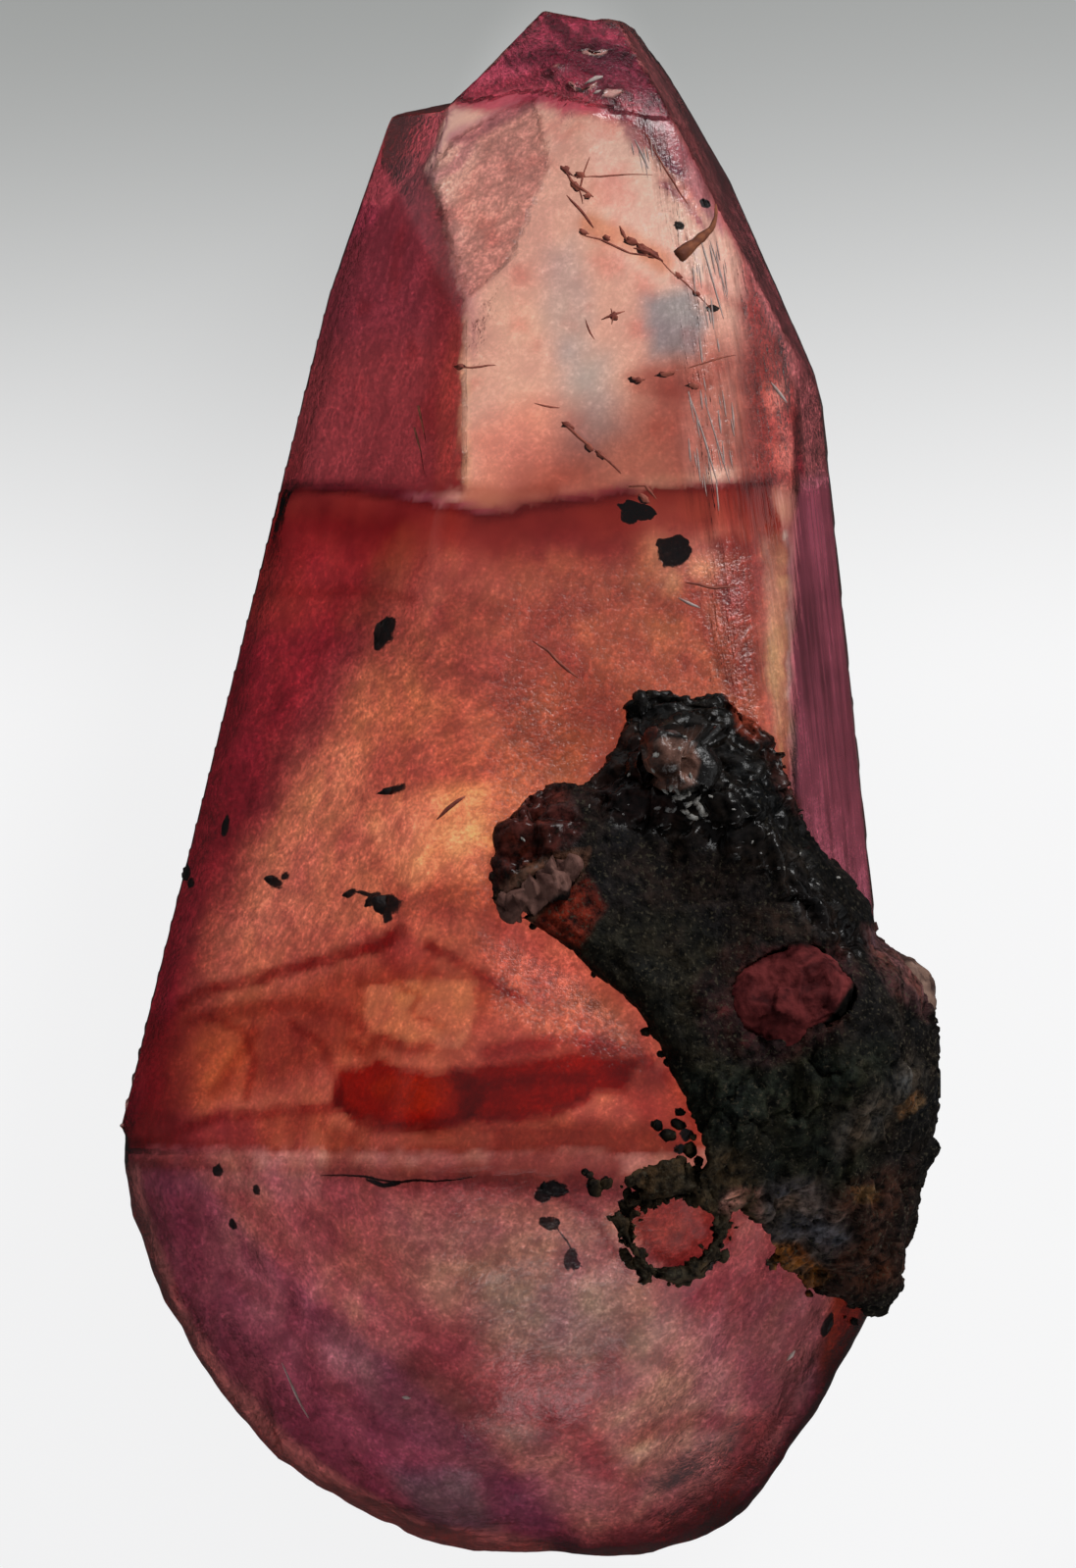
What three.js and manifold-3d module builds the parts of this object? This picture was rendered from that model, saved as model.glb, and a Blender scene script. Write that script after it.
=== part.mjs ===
// A gem ruby crystal, a long tapering six-sided pyramid with a broken and worn lower end, and the
// crust of dark amphibole rock that it grew on, which still covers its lower right front.
// The crystal lies on its flat back face. Millimetres: X to the right, Y along the crystal
// towards its tip, Z up from the surface that it lies on, with the origin under its middle.
import * as THREE from "three";
import { ImprovedNoise } from "three/addons/math/ImprovedNoise.js";
import { mergeVertices } from "three/addons/utils/BufferGeometryUtils.js";
import Module from "manifold-3d";

// Driving dimensions
const LENGTH = 16.0;
const GIRDLE_Y = -3.6; // the widest station, where the tapering faces end
const HALF_WIDTH = 4.25; // from the middle to the left side edge, at the girdle
const EDGE_HEIGHT = 2.6; // height of the two side edges above the flat back
const FRONT_HEIGHT = 6.15; // height of the front face at the girdle
const SEAM_GAP = 0.05; // clearance between minerals that touch
const FAR = 40; // size of a cutting block, larger than the object
const MERGE_DISTANCE = 1e-4; // corners closer than this are one corner

const wasm = await Module();
wasm.setup();
const noise = new ImprovedNoise();

// Solids and geometries

function solidFrom(geometry) {
  const bare = geometry.index ? geometry.toNonIndexed() : geometry.clone();
  bare.deleteAttribute("normal");
  bare.deleteAttribute("uv");
  const merged = mergeVertices(bare, MERGE_DISTANCE);
  return new wasm.Manifold(
    new wasm.Mesh({
      numProp: 3,
      vertProperties: merged.attributes.position.array,
      triVerts: new Uint32Array(merged.index.array),
    }),
  );
}

function geometryFrom(solid) {
  const mesh = solid.getMesh();
  const points = new Float32Array(mesh.numVert * 3);
  for (let i = 0; i < mesh.numVert; i++) {
    points.set(mesh.vertProperties.subarray(i * mesh.numProp, i * mesh.numProp + 3), i * 3);
  }
  const geometry = new THREE.BufferGeometry();
  geometry.setAttribute("position", new THREE.BufferAttribute(points, 3));
  geometry.setIndex(new THREE.BufferAttribute(mesh.triVerts, 1));
  geometry.computeVertexNormals();
  return geometry;
}

// Moves each point of a geometry to where the given function puts it.
function reshape(geometry, move) {
  const places = geometry.attributes.position;
  const point = new THREE.Vector3();
  for (let i = 0; i < places.count; i++) {
    point.fromBufferAttribute(places, i);
    move(point);
    places.setXYZ(i, point.x, point.y, point.z);
  }
  return geometry;
}

// Smooth noise, about -1 to 1, with lumps of the given size and finer ones on them.
const NOISE = { octaves: 3, share: 0.95, weaker: 0.5, finer: 2.1, start: [7.3, -2.9, 4.1] };

function roughness(x, y, z, size) {
  const [startX, startY, startZ] = NOISE.start;
  let sum = 0;
  let share = NOISE.share;
  let scale = 1 / size;
  for (let octave = 0; octave < NOISE.octaves; octave++) {
    sum += share * noise.noise(x * scale + startX, y * scale + startY, z * scale + startZ);
    share *= NOISE.weaker;
    scale *= NOISE.finer;
  }
  return sum;
}

// Crystal faces. A face's normal turns about the long axis by azimuth, from +X at 0 to +Z at 90,
// and leans towards the tip by lean. The face passes through a point.

const LEFT_EDGE = [-HALF_WIDTH, GIRDLE_Y, EDGE_HEIGHT];
const RIGHT_EDGE = [3.3, 1.3, EDGE_HEIGHT];
const TIP = [0.17, LENGTH / 2, EDGE_HEIGHT];

const PYRAMID_FACES = {
  back: { azimuth: 270, lean: 0, through: [0, 0, 0] },
  leftFront: { azimuth: 140, lean: 10.9, through: LEFT_EDGE },
  leftBack: { azimuth: 208, lean: 12.5, through: LEFT_EDGE },
  leftUpper: { azimuth: 180, lean: 19.3, through: [-2.3, 4.36, EDGE_HEIGHT] },
  front: { azimuth: 80, lean: 12.6, through: [0, GIRDLE_Y, FRONT_HEIGHT] },
  striated: { azimuth: 50, lean: 13.8, through: [1.95, 4.06, 4.07] },
  rightFront: { azimuth: 20, lean: 5.1, through: RIGHT_EDGE },
  rightBack: { azimuth: 330, lean: 5.6, through: RIGHT_EDGE },
  rightShoulder: { azimuth: 4, lean: 15, through: [2.88, 4.52, EDGE_HEIGHT] },
  rightUpper: { azimuth: 8, lean: 26.9, through: [2.1, 6.15, 1.7] },
};
const TIP_FACES = {
  tipRight: { azimuth: 5, lean: 32, through: [1.3, 7.49, 1.5] },
  tipChip: { azimuth: 0, lean: 43, through: [1.02, 7.84, EDGE_HEIGHT] },
  tipTop: { azimuth: 0, lean: 79, through: TIP },
  tipFront: { azimuth: 84, lean: 48, through: [0.63, 7.02, 3.63] },
  tipBack: { azimuth: 268, lean: 50, through: [0, 6.9, 0] },
  tipLeft: { azimuth: 182, lean: 43.7, through: [-0.36, 7.47, EDGE_HEIGHT] },
  frosted: { azimuth: 118.3, lean: 28.8, through: [-0.65, 4.72, 4.38] },
};
// The left flank ends in a ledge below the tip, with a step up to the frosted face beside it.
const FLANK_WALL = { azimuth: 0, lean: -18, through: [-0.9, 6.65, EDGE_HEIGHT] };
const FLANK_LEDGE = { azimuth: 150, lean: 82, through: [-0.79, 6.96, EDGE_HEIGHT] };

function normalOf({ azimuth, lean }) {
  const turn = THREE.MathUtils.degToRad(azimuth);
  const rise = THREE.MathUtils.degToRad(lean);
  return new THREE.Vector3(
    Math.cos(turn) * Math.cos(rise),
    Math.sin(rise),
    Math.sin(turn) * Math.cos(rise),
  );
}

// Height of a face above the place x, y.
function heightOn(face, x, y) {
  const normal = normalOf(face);
  const [faceX, faceY, faceZ] = face.through;
  return faceZ - (normal.x * (x - faceX) + normal.y * (y - faceY)) / normal.z;
}

// A block that holds everything beyond a face, which is moved out by grow.
function beyond(face, grow) {
  const normal = normalOf(face);
  const block = new THREE.BoxGeometry(FAR, FAR, FAR);
  block.applyQuaternion(
    new THREE.Quaternion().setFromUnitVectors(new THREE.Vector3(0, 0, 1), normal),
  );
  const centre = new THREE.Vector3(...face.through).addScaledVector(normal, FAR / 2 + grow);
  block.translate(centre.x, centre.y, centre.z);
  return solidFrom(block);
}

function cutByFaces(faces, grow) {
  let solid = solidFrom(new THREE.BoxGeometry(FAR / 2, FAR / 2, FAR / 2));
  for (const face of faces) {
    solid = solid.subtract(beyond(face, grow));
  }
  return solid;
}

// The worn lower end, below the girdle. Seen from the front its radius about END_CENTRE is given
// every 15 degrees from the left side, round the bottom, to the right side. In depth it is round,
// and broad worn facets cut it, with rounded edges between them.

const END_CENTRE = new THREE.Vector3(0, GIRDLE_Y, 2.9);
const END_RADII = [
  HALF_WIDTH, 4.27, 4.31, 4.35, 4.3, 4.38, 4.37, 4.58, 4.7, 4.34, 4.15, 3.95, 3.85,
];
const END_DEPTH = 3.95;
const END_DETAIL = 14; // how finely the round end is divided
const FRONT_WORN = [
  { azimuth: 84, lean: -14, through: [0, GIRDLE_Y, 6.21] },
  { azimuth: 140, lean: -15, through: [-4.55, GIRDLE_Y, EDGE_HEIGHT] },
  { azimuth: 40, lean: -24, through: [2.1, -5.6, 4.6] },
  { azimuth: 90, lean: -50, through: [0, -7.1, 4.9] },
];
const BACK_WORN = [
  { azimuth: 235, lean: -36, through: [-1.2, -6.9, 0.7] },
  { azimuth: 300, lean: -34, through: [1.4, -6.7, 0.7] },
];
const EDGE_SHARPNESS = 16;
// Shallow scoops in the worn surface: where, how wide, and how deep.
const END_SCOOPS = [
  { at: [-1.1, -5.9, 5.3], reach: 0.9, depth: 0.22 },
  { at: [0.5, -5.2, 5.8], reach: 0.6, depth: 0.12 },
  { at: [0.1, -7.3, 4.4], reach: 0.55, depth: 0.2 },
  { at: [1.6, -6.9, 4.2], reach: 0.7, depth: 0.22 },
  { at: [-2.9, -5.3, 4.1], reach: 0.8, depth: 0.14 },
  { at: [-2.6, -6.3, 1.6], reach: 1.0, depth: 0.25 },
  { at: [2.5, -5.8, 1.3], reach: 0.9, depth: 0.22 },
  { at: [0.3, -7.4, 1.3], reach: 0.8, depth: 0.22 },
];
const END_LUMPS = [
  { size: 1.1, height: 0.075 },
  { size: 0.38, height: 0.025 },
];

function endRadius(x, y) {
  const share = THREE.MathUtils.clamp(Math.atan2(-y, -x) / Math.PI, 0, 1);
  const place = share * (END_RADII.length - 1);
  const i = Math.min(Math.floor(place), END_RADII.length - 2);
  return THREE.MathUtils.lerp(END_RADII[i], END_RADII[i + 1], place - i);
}

// How far out the worn surface lies along a direction, as a share of the plain round form.
function endShare(offset) {
  let sum = 1;
  for (const facet of [...FRONT_WORN, ...BACK_WORN]) {
    const normal = normalOf(facet);
    const room = new THREE.Vector3(...facet.through).sub(END_CENTRE).dot(normal);
    const away = offset.dot(normal);
    if (away > 0) {
      sum += (away / room) ** EDGE_SHARPNESS;
    }
  }
  return sum ** (-1 / EDGE_SHARPNESS);
}

function wornEnd(grow) {
  const ball = new THREE.IcosahedronGeometry(1, END_DETAIL);
  reshape(ball, (point) => {
    const outward = point.clone();
    const radius = point.y < 0 ? endRadius(point.x, point.y) : END_RADII[0];
    point.multiply(new THREE.Vector3(radius, radius, END_DEPTH));
    point.multiplyScalar(endShare(point)).add(END_CENTRE);
    let proud = grow;
    for (const { size, height } of END_LUMPS) {
      proud += height * roughness(point.x, point.y, point.z, size);
    }
    for (const { at, reach, depth } of END_SCOOPS) {
      const away = point.distanceTo(new THREE.Vector3(...at)) / reach;
      proud -= depth * Math.exp(-away * away);
    }
    point.addScaledVector(outward, proud);
  });
  return solidFrom(ball);
}

// Growth striations: V grooves side by side along a face.

const STRIATIONS = [
  { face: "striated", along: [-0.14, 1, -0.2], from: 0.1, step: 0.13, count: 6, depth: 0.045 },
  { face: "rightFront", along: [0.03, 1, -0.12], from: 0.25, step: 0.24, count: 4, depth: 0.04 },
  { face: "rightUpper", along: [0.5, -1, 0], from: -0.75, step: 0.14, count: 4, depth: 0.03 },
];
// Grooves differ a little in width, in length and in where along the face they start.
const GROOVE_SIDES = 4;
const GROOVE_WIDTH = { share: 1.5, uneven: 0.4, change: 2.3 };
const GROOVE_LENGTH = { least: 9, longer: 0.7, kinds: 3 };
const GROOVE_START = { first: -1.2, shift: 0.6, kinds: 2 };

function grooves({ face, along, from, step, count, depth }) {
  const { through } = PYRAMID_FACES[face];
  const normal = normalOf(PYRAMID_FACES[face]);
  const axis = new THREE.Vector3(...along).projectOnPlane(normal).normalize();
  const across = new THREE.Vector3().crossVectors(axis, normal);
  const made = [];
  for (let i = 0; i < count; i++) {
    const radius = depth * (GROOVE_WIDTH.share + GROOVE_WIDTH.uneven * Math.sin(i * GROOVE_WIDTH.change));
    const length = GROOVE_LENGTH.least + (i % GROOVE_LENGTH.kinds) * GROOVE_LENGTH.longer;
    const start = GROOVE_START.first + (i % GROOVE_START.kinds) * GROOVE_START.shift;
    const groove = new THREE.CylinderGeometry(radius, radius, length, GROOVE_SIDES);
    groove.applyMatrix4(new THREE.Matrix4().makeBasis(across, axis, normal));
    const at = new THREE.Vector3(...through)
      .addScaledVector(across, from + step * i)
      .addScaledVector(axis, start)
      .addScaledVector(normal, radius - depth);
    groove.translate(at.x, at.y, at.z);
    made.push(solidFrom(groove));
  }
  return made;
}

// Chips out of the edges and pits in the rough tip, as flattened balls.

const CHIPS = [
  { at: [2.62, 5.34, 2.7], size: [0.2, 0.09, 1.2] },
  { at: [-3.2, -6.55, 2.6], size: [0.16, 0.1, 1.4] },
  { at: [-1.6, -7.78, 3.0], size: [0.3, 0.12, 1.2] },
  { at: [0.62, 8.02, 2.8], size: [0.18, 0.1, 0.7] },
];
const TIP_PITS = [
  { at: [0.22, 7.5], size: [0.2, 0.24, 0.09] },
  { at: [0.55, 7.28], size: [0.17, 0.22, 0.1] },
  { at: [0.9, 7.2], size: [0.13, 0.26, 0.08] },
  { at: [0.35, 7.1], size: [0.2, 0.13, 0.08] },
  { at: [0.68, 7.62], size: [0.14, 0.2, 0.08] },
  { at: [1.12, 7.42], size: [0.1, 0.24, 0.07] },
];

const CHIP_DETAIL = 2;

function chip({ at, size }) {
  const ball = new THREE.IcosahedronGeometry(1, CHIP_DETAIL);
  ball.scale(...size);
  ball.translate(...at);
  return solidFrom(ball);
}

function tipPit({ at, size }) {
  return chip({ at: [...at, heightOn(TIP_FACES.tipFront, ...at)], size });
}

function crystalBody(grow) {
  const { back, leftFront, leftBack, leftUpper } = PYRAMID_FACES;
  const flank = [back, leftFront, leftBack, leftUpper, FLANK_WALL, FLANK_LEDGE];
  const pyramid = cutByFaces([...Object.values(PYRAMID_FACES), ...Object.values(TIP_FACES)], grow);
  const lower = new THREE.BoxGeometry(FAR, FAR, FAR);
  lower.translate(0, GIRDLE_Y - FAR / 2, 0);
  return pyramid.add(cutByFaces(flank, grow)).subtract(solidFrom(lower).subtract(wornEnd(grow)));
}

function rubyCrystal() {
  let solid = crystalBody(0);
  for (const cut of [...STRIATIONS.flatMap(grooves), ...CHIPS.map(chip), ...TIP_PITS.map(tipPit)]) {
    solid = solid.subtract(cut);
  }
  return solid;
}

// Height of the crystal's front at a place, without its small relief.
function frontHeight(x, y) {
  const { front, striated, rightFront, leftFront } = PYRAMID_FACES;
  const faces = [front, striated, rightFront, leftFront, ...FRONT_WORN];
  return Math.min(...faces.map((face) => heightOn(face, x, y)));
}

// The amphibole rock: its outline from the front, and the swells and hollows of its crown.

const ROCK_CENTRE = [2.35, -2.1];
const ROCK_OUTLINE = [
  [-0.42, -0.95], [-0.34, -0.62], [-0.04, -0.15], [0.22, 0.02], [0.55, 0.0], [0.78, 0.17],
  [0.91, 0.46], [1.04, 0.83], [1.24, 0.97], [1.55, 0.97], [1.68, 0.87], [1.77, 0.68],
  [1.87, 0.93], [1.99, 0.99], [2.18, 0.77], [2.42, 0.56], [2.67, 0.22], [2.79, -0.34],
  [3.03, -0.7], [3.31, -0.98], [3.53, -1.31], [3.6, -1.6], [3.98, -1.9], [4.16, -2.23],
  [4.22, -2.69], [4.235, -3.2], [4.17, -3.61], [4.08, -4.07], [3.97, -4.53], [3.85, -4.88],
  [3.83, -5.29], [3.61, -5.53], [3.39, -5.47], [3.13, -5.32], [2.82, -5.17], [2.57, -4.99],
  [2.42, -4.75], [2.38, -4.42], [2.22, -4.4], [1.86, -4.2], [1.78, -3.66], [1.65, -3.32],
  [1.48, -3.01], [1.32, -2.69], [1.06, -2.3], [0.68, -1.97], [0.37, -1.67], [0.07, -1.51],
  [-0.27, -1.34],
];
const ROCK_THICKNESS = 0.38;
const ROCK_SWELLS = [
  { at: [0.1, -0.55], reach: [0.4, 0.35], lift: 0.12 },
  { at: [1.5, 0.1], reach: [0.5, 0.35], lift: 0.4 },
  { at: [2.2, -0.35], reach: [0.4, 0.4], lift: 0.42 },
  { at: [2.85, -0.95], reach: [0.4, 0.4], lift: 0.36 },
  { at: [3.35, -1.5], reach: [0.35, 0.4], lift: 0.3 },
  { at: [1.5, -1.5], reach: [0.6, 0.5], lift: -0.12 },
  { at: [3.5, -2.7], reach: [0.5, 0.7], lift: 0.45 },
  { at: [2.6, -3.4], reach: [0.7, 0.5], lift: 0.14 },
  { at: [3.3, -4.4], reach: [0.5, 0.7], lift: 0.3 },
];
const SIDE_X = 2.65; // beyond this the crown bends down over the crystal's right side
const SIDE_FALL = 0.35;
const SIDE_CURVE = 1.5;
const RIM_HEIGHT = 2.9; // height of the rock's widest line beside the crystal
const UNDERSIDE = 1.35; // its lowest reach behind the crystal's right edge
const ROCK_BOXINESS = 0.6; // below 1 the crown is flatter and its rim steeper
const ROCK_LUMPS = { size: 0.62, height: 0.17 };
const RIM_LUMPS = { size: 0.175, height: 0.06 };
const RIM_STEPS = 720;
const RIM_SAMPLES = 4 * RIM_STEPS;
const ROCK_DETAIL = 13; // how finely the rock is divided

function rockCrown(x, y) {
  let height = frontHeight(Math.min(x, SIDE_X), y) + ROCK_THICKNESS;
  height -= SIDE_FALL * Math.max(x - SIDE_X, 0) ** SIDE_CURVE;
  for (const { at, reach, lift } of ROCK_SWELLS) {
    height += lift * Math.exp(-(((x - at[0]) / reach[0]) ** 2) - ((y - at[1]) / reach[1]) ** 2);
  }
  return height;
}

// The rock's reach from its centre in every direction, as a list of even steps of angle.
function rockReaches() {
  const [centreX, centreY] = ROCK_CENTRE;
  const corners = ROCK_OUTLINE.map(([x, y]) => new THREE.Vector3(x - centreX, y - centreY, 0));
  const curve = new THREE.CatmullRomCurve3(corners, true, "centripetal");
  const reaches = [];
  for (const point of curve.getSpacedPoints(RIM_SAMPLES)) {
    const step = Math.round((Math.atan2(point.y, point.x) / (2 * Math.PI) + 1) * RIM_STEPS);
    reaches[step % RIM_STEPS] = point.length();
  }
  return reaches;
}

// The rock before the crystal is cut out of it: a ball that is drawn out to the outline, with a
// crown above its rim and an underside below it.
function rockMass() {
  const reaches = rockReaches();
  const [centreX, centreY] = ROCK_CENTRE;
  const ball = new THREE.IcosahedronGeometry(1, ROCK_DETAIL);
  reshape(ball, (point) => {
    const angle = Math.atan2(point.y, point.x);
    const step = Math.round((angle / (2 * Math.PI) + 1) * RIM_STEPS) % RIM_STEPS;
    const share = Math.hypot(point.x, point.y) ** ROCK_BOXINESS;
    const flat = Math.abs(point.z) ** ROCK_BOXINESS;
    const ragged = RIM_LUMPS.height * roughness(point.x, point.y, point.z, RIM_LUMPS.size);
    const out = (reaches[step] + ragged) * share;
    const rimReach = reaches[step];
    const rimX = centreX + Math.cos(angle) * rimReach;
    const rimY = centreY + Math.sin(angle) * rimReach;
    const x = centreX + Math.cos(angle) * out;
    const y = centreY + Math.sin(angle) * out;
    const rim = Math.max(frontHeight(rimX, rimY) - SEAM_GAP, RIM_HEIGHT);
    const z = THREE.MathUtils.lerp(rim, point.z > 0 ? rockCrown(x, y) : UNDERSIDE, flat);
    point.set(x, y, z + flat * ROCK_LUMPS.height * roughness(x, y, z, ROCK_LUMPS.size));
  });
  return solidFrom(ball);
}

// A broken ring of the same rock lies on the crystal beside the main mass and joins it.

const RING_CENTRE = [1.53, -4.6];
const RING_RADII = [0.6, 0.52];
const RING_TUBE = 0.3; // share of the radius
const RING_THICKNESS = 0.12;
const RING_LUMPS = { size: 0.3, height: 0.8 };
const RING_WOBBLE = { size: 0.8, height: 0.14 };
const RING_SIDES = 7;
const RING_STEPS = 36;
// The ring is broader at its top and on its right.
const RING_SWELL = { share: 0.5, right: 0.5, least: -0.4 };

function rockRing() {
  const ring = new THREE.TorusGeometry(1, RING_TUBE, RING_SIDES, RING_STEPS);
  const [centreX, centreY] = RING_CENTRE;
  reshape(ring, (point) => {
    const distance = Math.hypot(point.x, point.y);
    const [alongX, alongY] = [point.x / distance, point.y / distance];
    const uneven = 1 + RING_LUMPS.height * roughness(alongX, alongY, point.z, RING_LUMPS.size);
    const broad = Math.max(alongY, alongX - RING_SWELL.right, RING_SWELL.least);
    const width = 1 + RING_SWELL.share * broad;
    const wobble = RING_WOBBLE.height * roughness(alongX, alongY, FAR, RING_WOBBLE.size);
    const out = 1 + wobble + (distance - 1) * width * uneven;
    const x = centreX + alongX * out * RING_RADII[0];
    const y = centreY + alongY * out * RING_RADII[1];
    point.set(x, y, frontHeight(x, y) + (point.z / RING_TUBE) * RING_THICKNESS * uneven);
  });
  return solidFrom(ring);
}

// Crystals of other minerals set in the rock: rough flattened balls that stand a little proud.

const GRAINS = [
  { name: "ruby_grain", at: [2.6, -2.26], size: [0.72, 0.48, 0.36], turn: 14, colour: 0x7a2a33 },
  { name: "glassy_grain", at: [1.5, 0.2], size: [0.34, 0.28, 0.28], turn: -20, colour: 0x8a6a62 },
  { name: "pale_vein", at: [0.12, -1.13], size: [0.45, 0.12, 0.2], turn: 34, colour: 0x7d6763 },
  {
    name: "edge_grain", at: [3.81, -2.17], height: 3.5, size: [0.32, 0.34, 0.6], turn: 15,
    colour: 0x7c4f4c,
  },
];
const GRAIN_SUNK = 0.55; // share of a grain's half height that lies below the crown
const GRAIN_LUMPS = { size: 0.9, height: 0.14 };
const GRAIN_DETAIL = 3;

function grainSolid({ at, size, turn, height }, grow) {
  const [x, y] = at;
  const level = height ?? rockCrown(x, y) - size[2] * GRAIN_SUNK;
  const ball = new THREE.IcosahedronGeometry(1, GRAIN_DETAIL);
  reshape(ball, (point) => {
    const uneven = roughness(point.x + x, point.y + y, point.z, GRAIN_LUMPS.size);
    const rough = 1 + GRAIN_LUMPS.height * uneven;
    const reach = new THREE.Vector3(...size).multiplyScalar(rough).addScalar(grow);
    point.multiply(reach);
  });
  ball.rotateZ(THREE.MathUtils.degToRad(turn));
  ball.translate(x, y, level);
  return solidFrom(ball);
}

function amphiboleRock(spacedCrystal) {
  let solid = rockMass().add(rockRing()).subtract(spacedCrystal);
  for (const grain of GRAINS) {
    solid = solid.subtract(grainSolid(grain, SEAM_GAP));
  }
  return solid;
}

// The specimen

function piece(name, solid, look) {
  const mesh = new THREE.Mesh(geometryFrom(solid), new THREE.MeshStandardMaterial(look));
  mesh.name = name;
  return mesh;
}

const RUBY_LOOK = { color: 0xb0445a, roughness: 0.15, transparent: true, opacity: 0.75 };
const ROCK_LOOK = { color: 0x1d1f1b, roughness: 0.6 };
const GRAIN_ROUGHNESS = 0.35;

const spacedCrystal = crystalBody(SEAM_GAP);
const specimen = new THREE.Group();
specimen.add(piece("ruby_crystal", rubyCrystal(), RUBY_LOOK));
specimen.add(piece("amphibole_rock", amphiboleRock(spacedCrystal), ROCK_LOOK));
for (const grain of GRAINS) {
  const solid = grainSolid(grain, 0).subtract(spacedCrystal);
  specimen.add(piece(grain.name, solid, { color: grain.colour, roughness: GRAIN_ROUGHNESS }));
}

export default specimen;
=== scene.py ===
# The looks of a gem ruby crystal and the crust of dark amphibole rock that it grew on. The crystal
# lies on its flat back on a pale floor, and the camera looks straight down on it.
# Shapes are worked out in millimetres in the part's own frame: X to the right, Y towards the tip,
# Z up. They are scaled to metres when they are finished.
import math

import bmesh
import bpy
import numpy as np
from mathutils import Matrix, Vector
from mathutils.bvhtree import BVHTree


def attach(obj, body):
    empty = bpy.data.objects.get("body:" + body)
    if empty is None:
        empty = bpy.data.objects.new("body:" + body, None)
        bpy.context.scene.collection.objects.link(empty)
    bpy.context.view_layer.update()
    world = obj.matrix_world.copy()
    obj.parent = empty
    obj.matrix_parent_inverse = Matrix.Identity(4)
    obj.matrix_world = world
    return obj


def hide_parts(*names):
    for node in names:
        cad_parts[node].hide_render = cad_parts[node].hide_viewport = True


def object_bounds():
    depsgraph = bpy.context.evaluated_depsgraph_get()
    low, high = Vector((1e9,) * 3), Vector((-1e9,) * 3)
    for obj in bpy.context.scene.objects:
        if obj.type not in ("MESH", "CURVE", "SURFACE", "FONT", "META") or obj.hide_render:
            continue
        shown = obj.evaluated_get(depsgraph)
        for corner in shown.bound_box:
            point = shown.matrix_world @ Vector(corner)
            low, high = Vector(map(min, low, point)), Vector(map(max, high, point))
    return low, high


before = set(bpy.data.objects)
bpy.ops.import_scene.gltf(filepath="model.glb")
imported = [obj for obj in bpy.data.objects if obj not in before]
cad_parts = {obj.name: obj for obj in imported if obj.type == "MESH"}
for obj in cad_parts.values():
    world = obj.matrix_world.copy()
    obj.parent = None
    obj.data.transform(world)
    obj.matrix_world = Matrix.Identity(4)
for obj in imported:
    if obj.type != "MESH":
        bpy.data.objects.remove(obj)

CAD_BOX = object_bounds()

METRE = 1000.0  # millimetres
MM = 1 / METRE
LOW = np.array(CAD_BOX[0]) * METRE
HIGH = np.array(CAD_BOX[1]) * METRE

# How fine the shaped meshes are, in millimetres
CRYSTAL_VOXEL = 0.066
ROCK_VOXEL = 0.036
GRAIN_VOXEL = 0.02

# The photograph's frame: its size, the millimetres a pixel and the pixel over the part's origin
PHOTO_SIZE = (1097, 1599)
PIXEL = 0.010217
ORIGIN_PIXEL = (538.5, 797.0)


def on_photo(pixels):
    """X and Y in millimetres of the photograph's pixels, which are given as x and y in turn."""
    return (np.reshape(pixels, (-1, 2)) - ORIGIN_PIXEL) * (PIXEL, -PIXEL)


# Patterns

CELL_PRIMES = np.array([73856093, 19349663, 83492791], np.int64)
SEED_PRIME = 2654435761
RANDOM_ROWS = 4096
MIXING_SHIFT = 13
NOISE_GAIN = 1.7  # brings the noise to about -1 to 1
FINER = 2.1  # each finer noise has lumps this many times smaller
GRAIN_MARGIN = 0.15  # a grain's centre keeps this share of a cell from the cell's sides
FAR_AWAY = 9.0


def smooth_step(low, high, values):
    """0 below low, 1 above high, and a smooth rise between them."""
    share = np.clip((values - low) / (high - low), 0, 1)
    return share * share * (3 - 2 * share)


def lattice_random(cells, seed, count):
    """Random numbers from 0 to 1 that belong to whole-number cells, count for each."""
    mixed = (cells @ CELL_PRIMES) ^ (seed * SEED_PRIME)
    table = np.random.default_rng(seed).random((RANDOM_ROWS, count))
    return table[(mixed ^ (mixed >> MIXING_SHIFT)) % RANDOM_ROWS]


def noise(points, size, seed):
    """Smooth noise, about -1 to 1, with lumps of the given size."""
    places = points / size
    base = np.floor(places)
    inner = places - base
    fade = inner**3 * (inner * (inner * 6 - 15) + 10)
    total = np.zeros(len(points))
    for corner in np.ndindex(2, 2, 2):
        slopes = lattice_random((base + corner).astype(np.int64), seed, 3) * 2 - 1
        weights = np.where(corner, fade, 1 - fade).prod(1)
        total += weights * ((inner - corner) * slopes).sum(1)
    return total * NOISE_GAIN


def rough_noise(points, size, seed, octaves=4, share=0.5):
    """Noise with finer and finer noise added, about -1 to 1."""
    total = 0
    for octave in range(octaves):
        total = total + share**octave * noise(points, size / FINER**octave, seed + octave)
    return total * (1 - share)


def grains(points, size, seed):
    """Cells like broken mineral grains: each point's height on the tilted face of its grain, and
    how deep it lies inside the grain, as a share of size."""
    places = points / size
    base = np.floor(places)
    nearest = np.full(len(points), FAR_AWAY)
    second = nearest.copy()
    tilted = np.zeros(len(points))
    for corner in np.ndindex(3, 3, 3):
        cell = (base + corner - 1).astype(np.int64)
        chance = lattice_random(cell, seed, 6)
        away = places - cell - GRAIN_MARGIN - (1 - 2 * GRAIN_MARGIN) * chance[:, :3]
        distance = np.sqrt((away**2).sum(1))
        closer = distance < nearest
        second = np.where(closer, nearest, np.minimum(second, distance))
        nearest = np.where(closer, distance, nearest)
        tilted = np.where(closer, (away * size * (chance[:, 3:] * 2 - 1)).sum(1), tilted)
    return tilted, second - nearest


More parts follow.
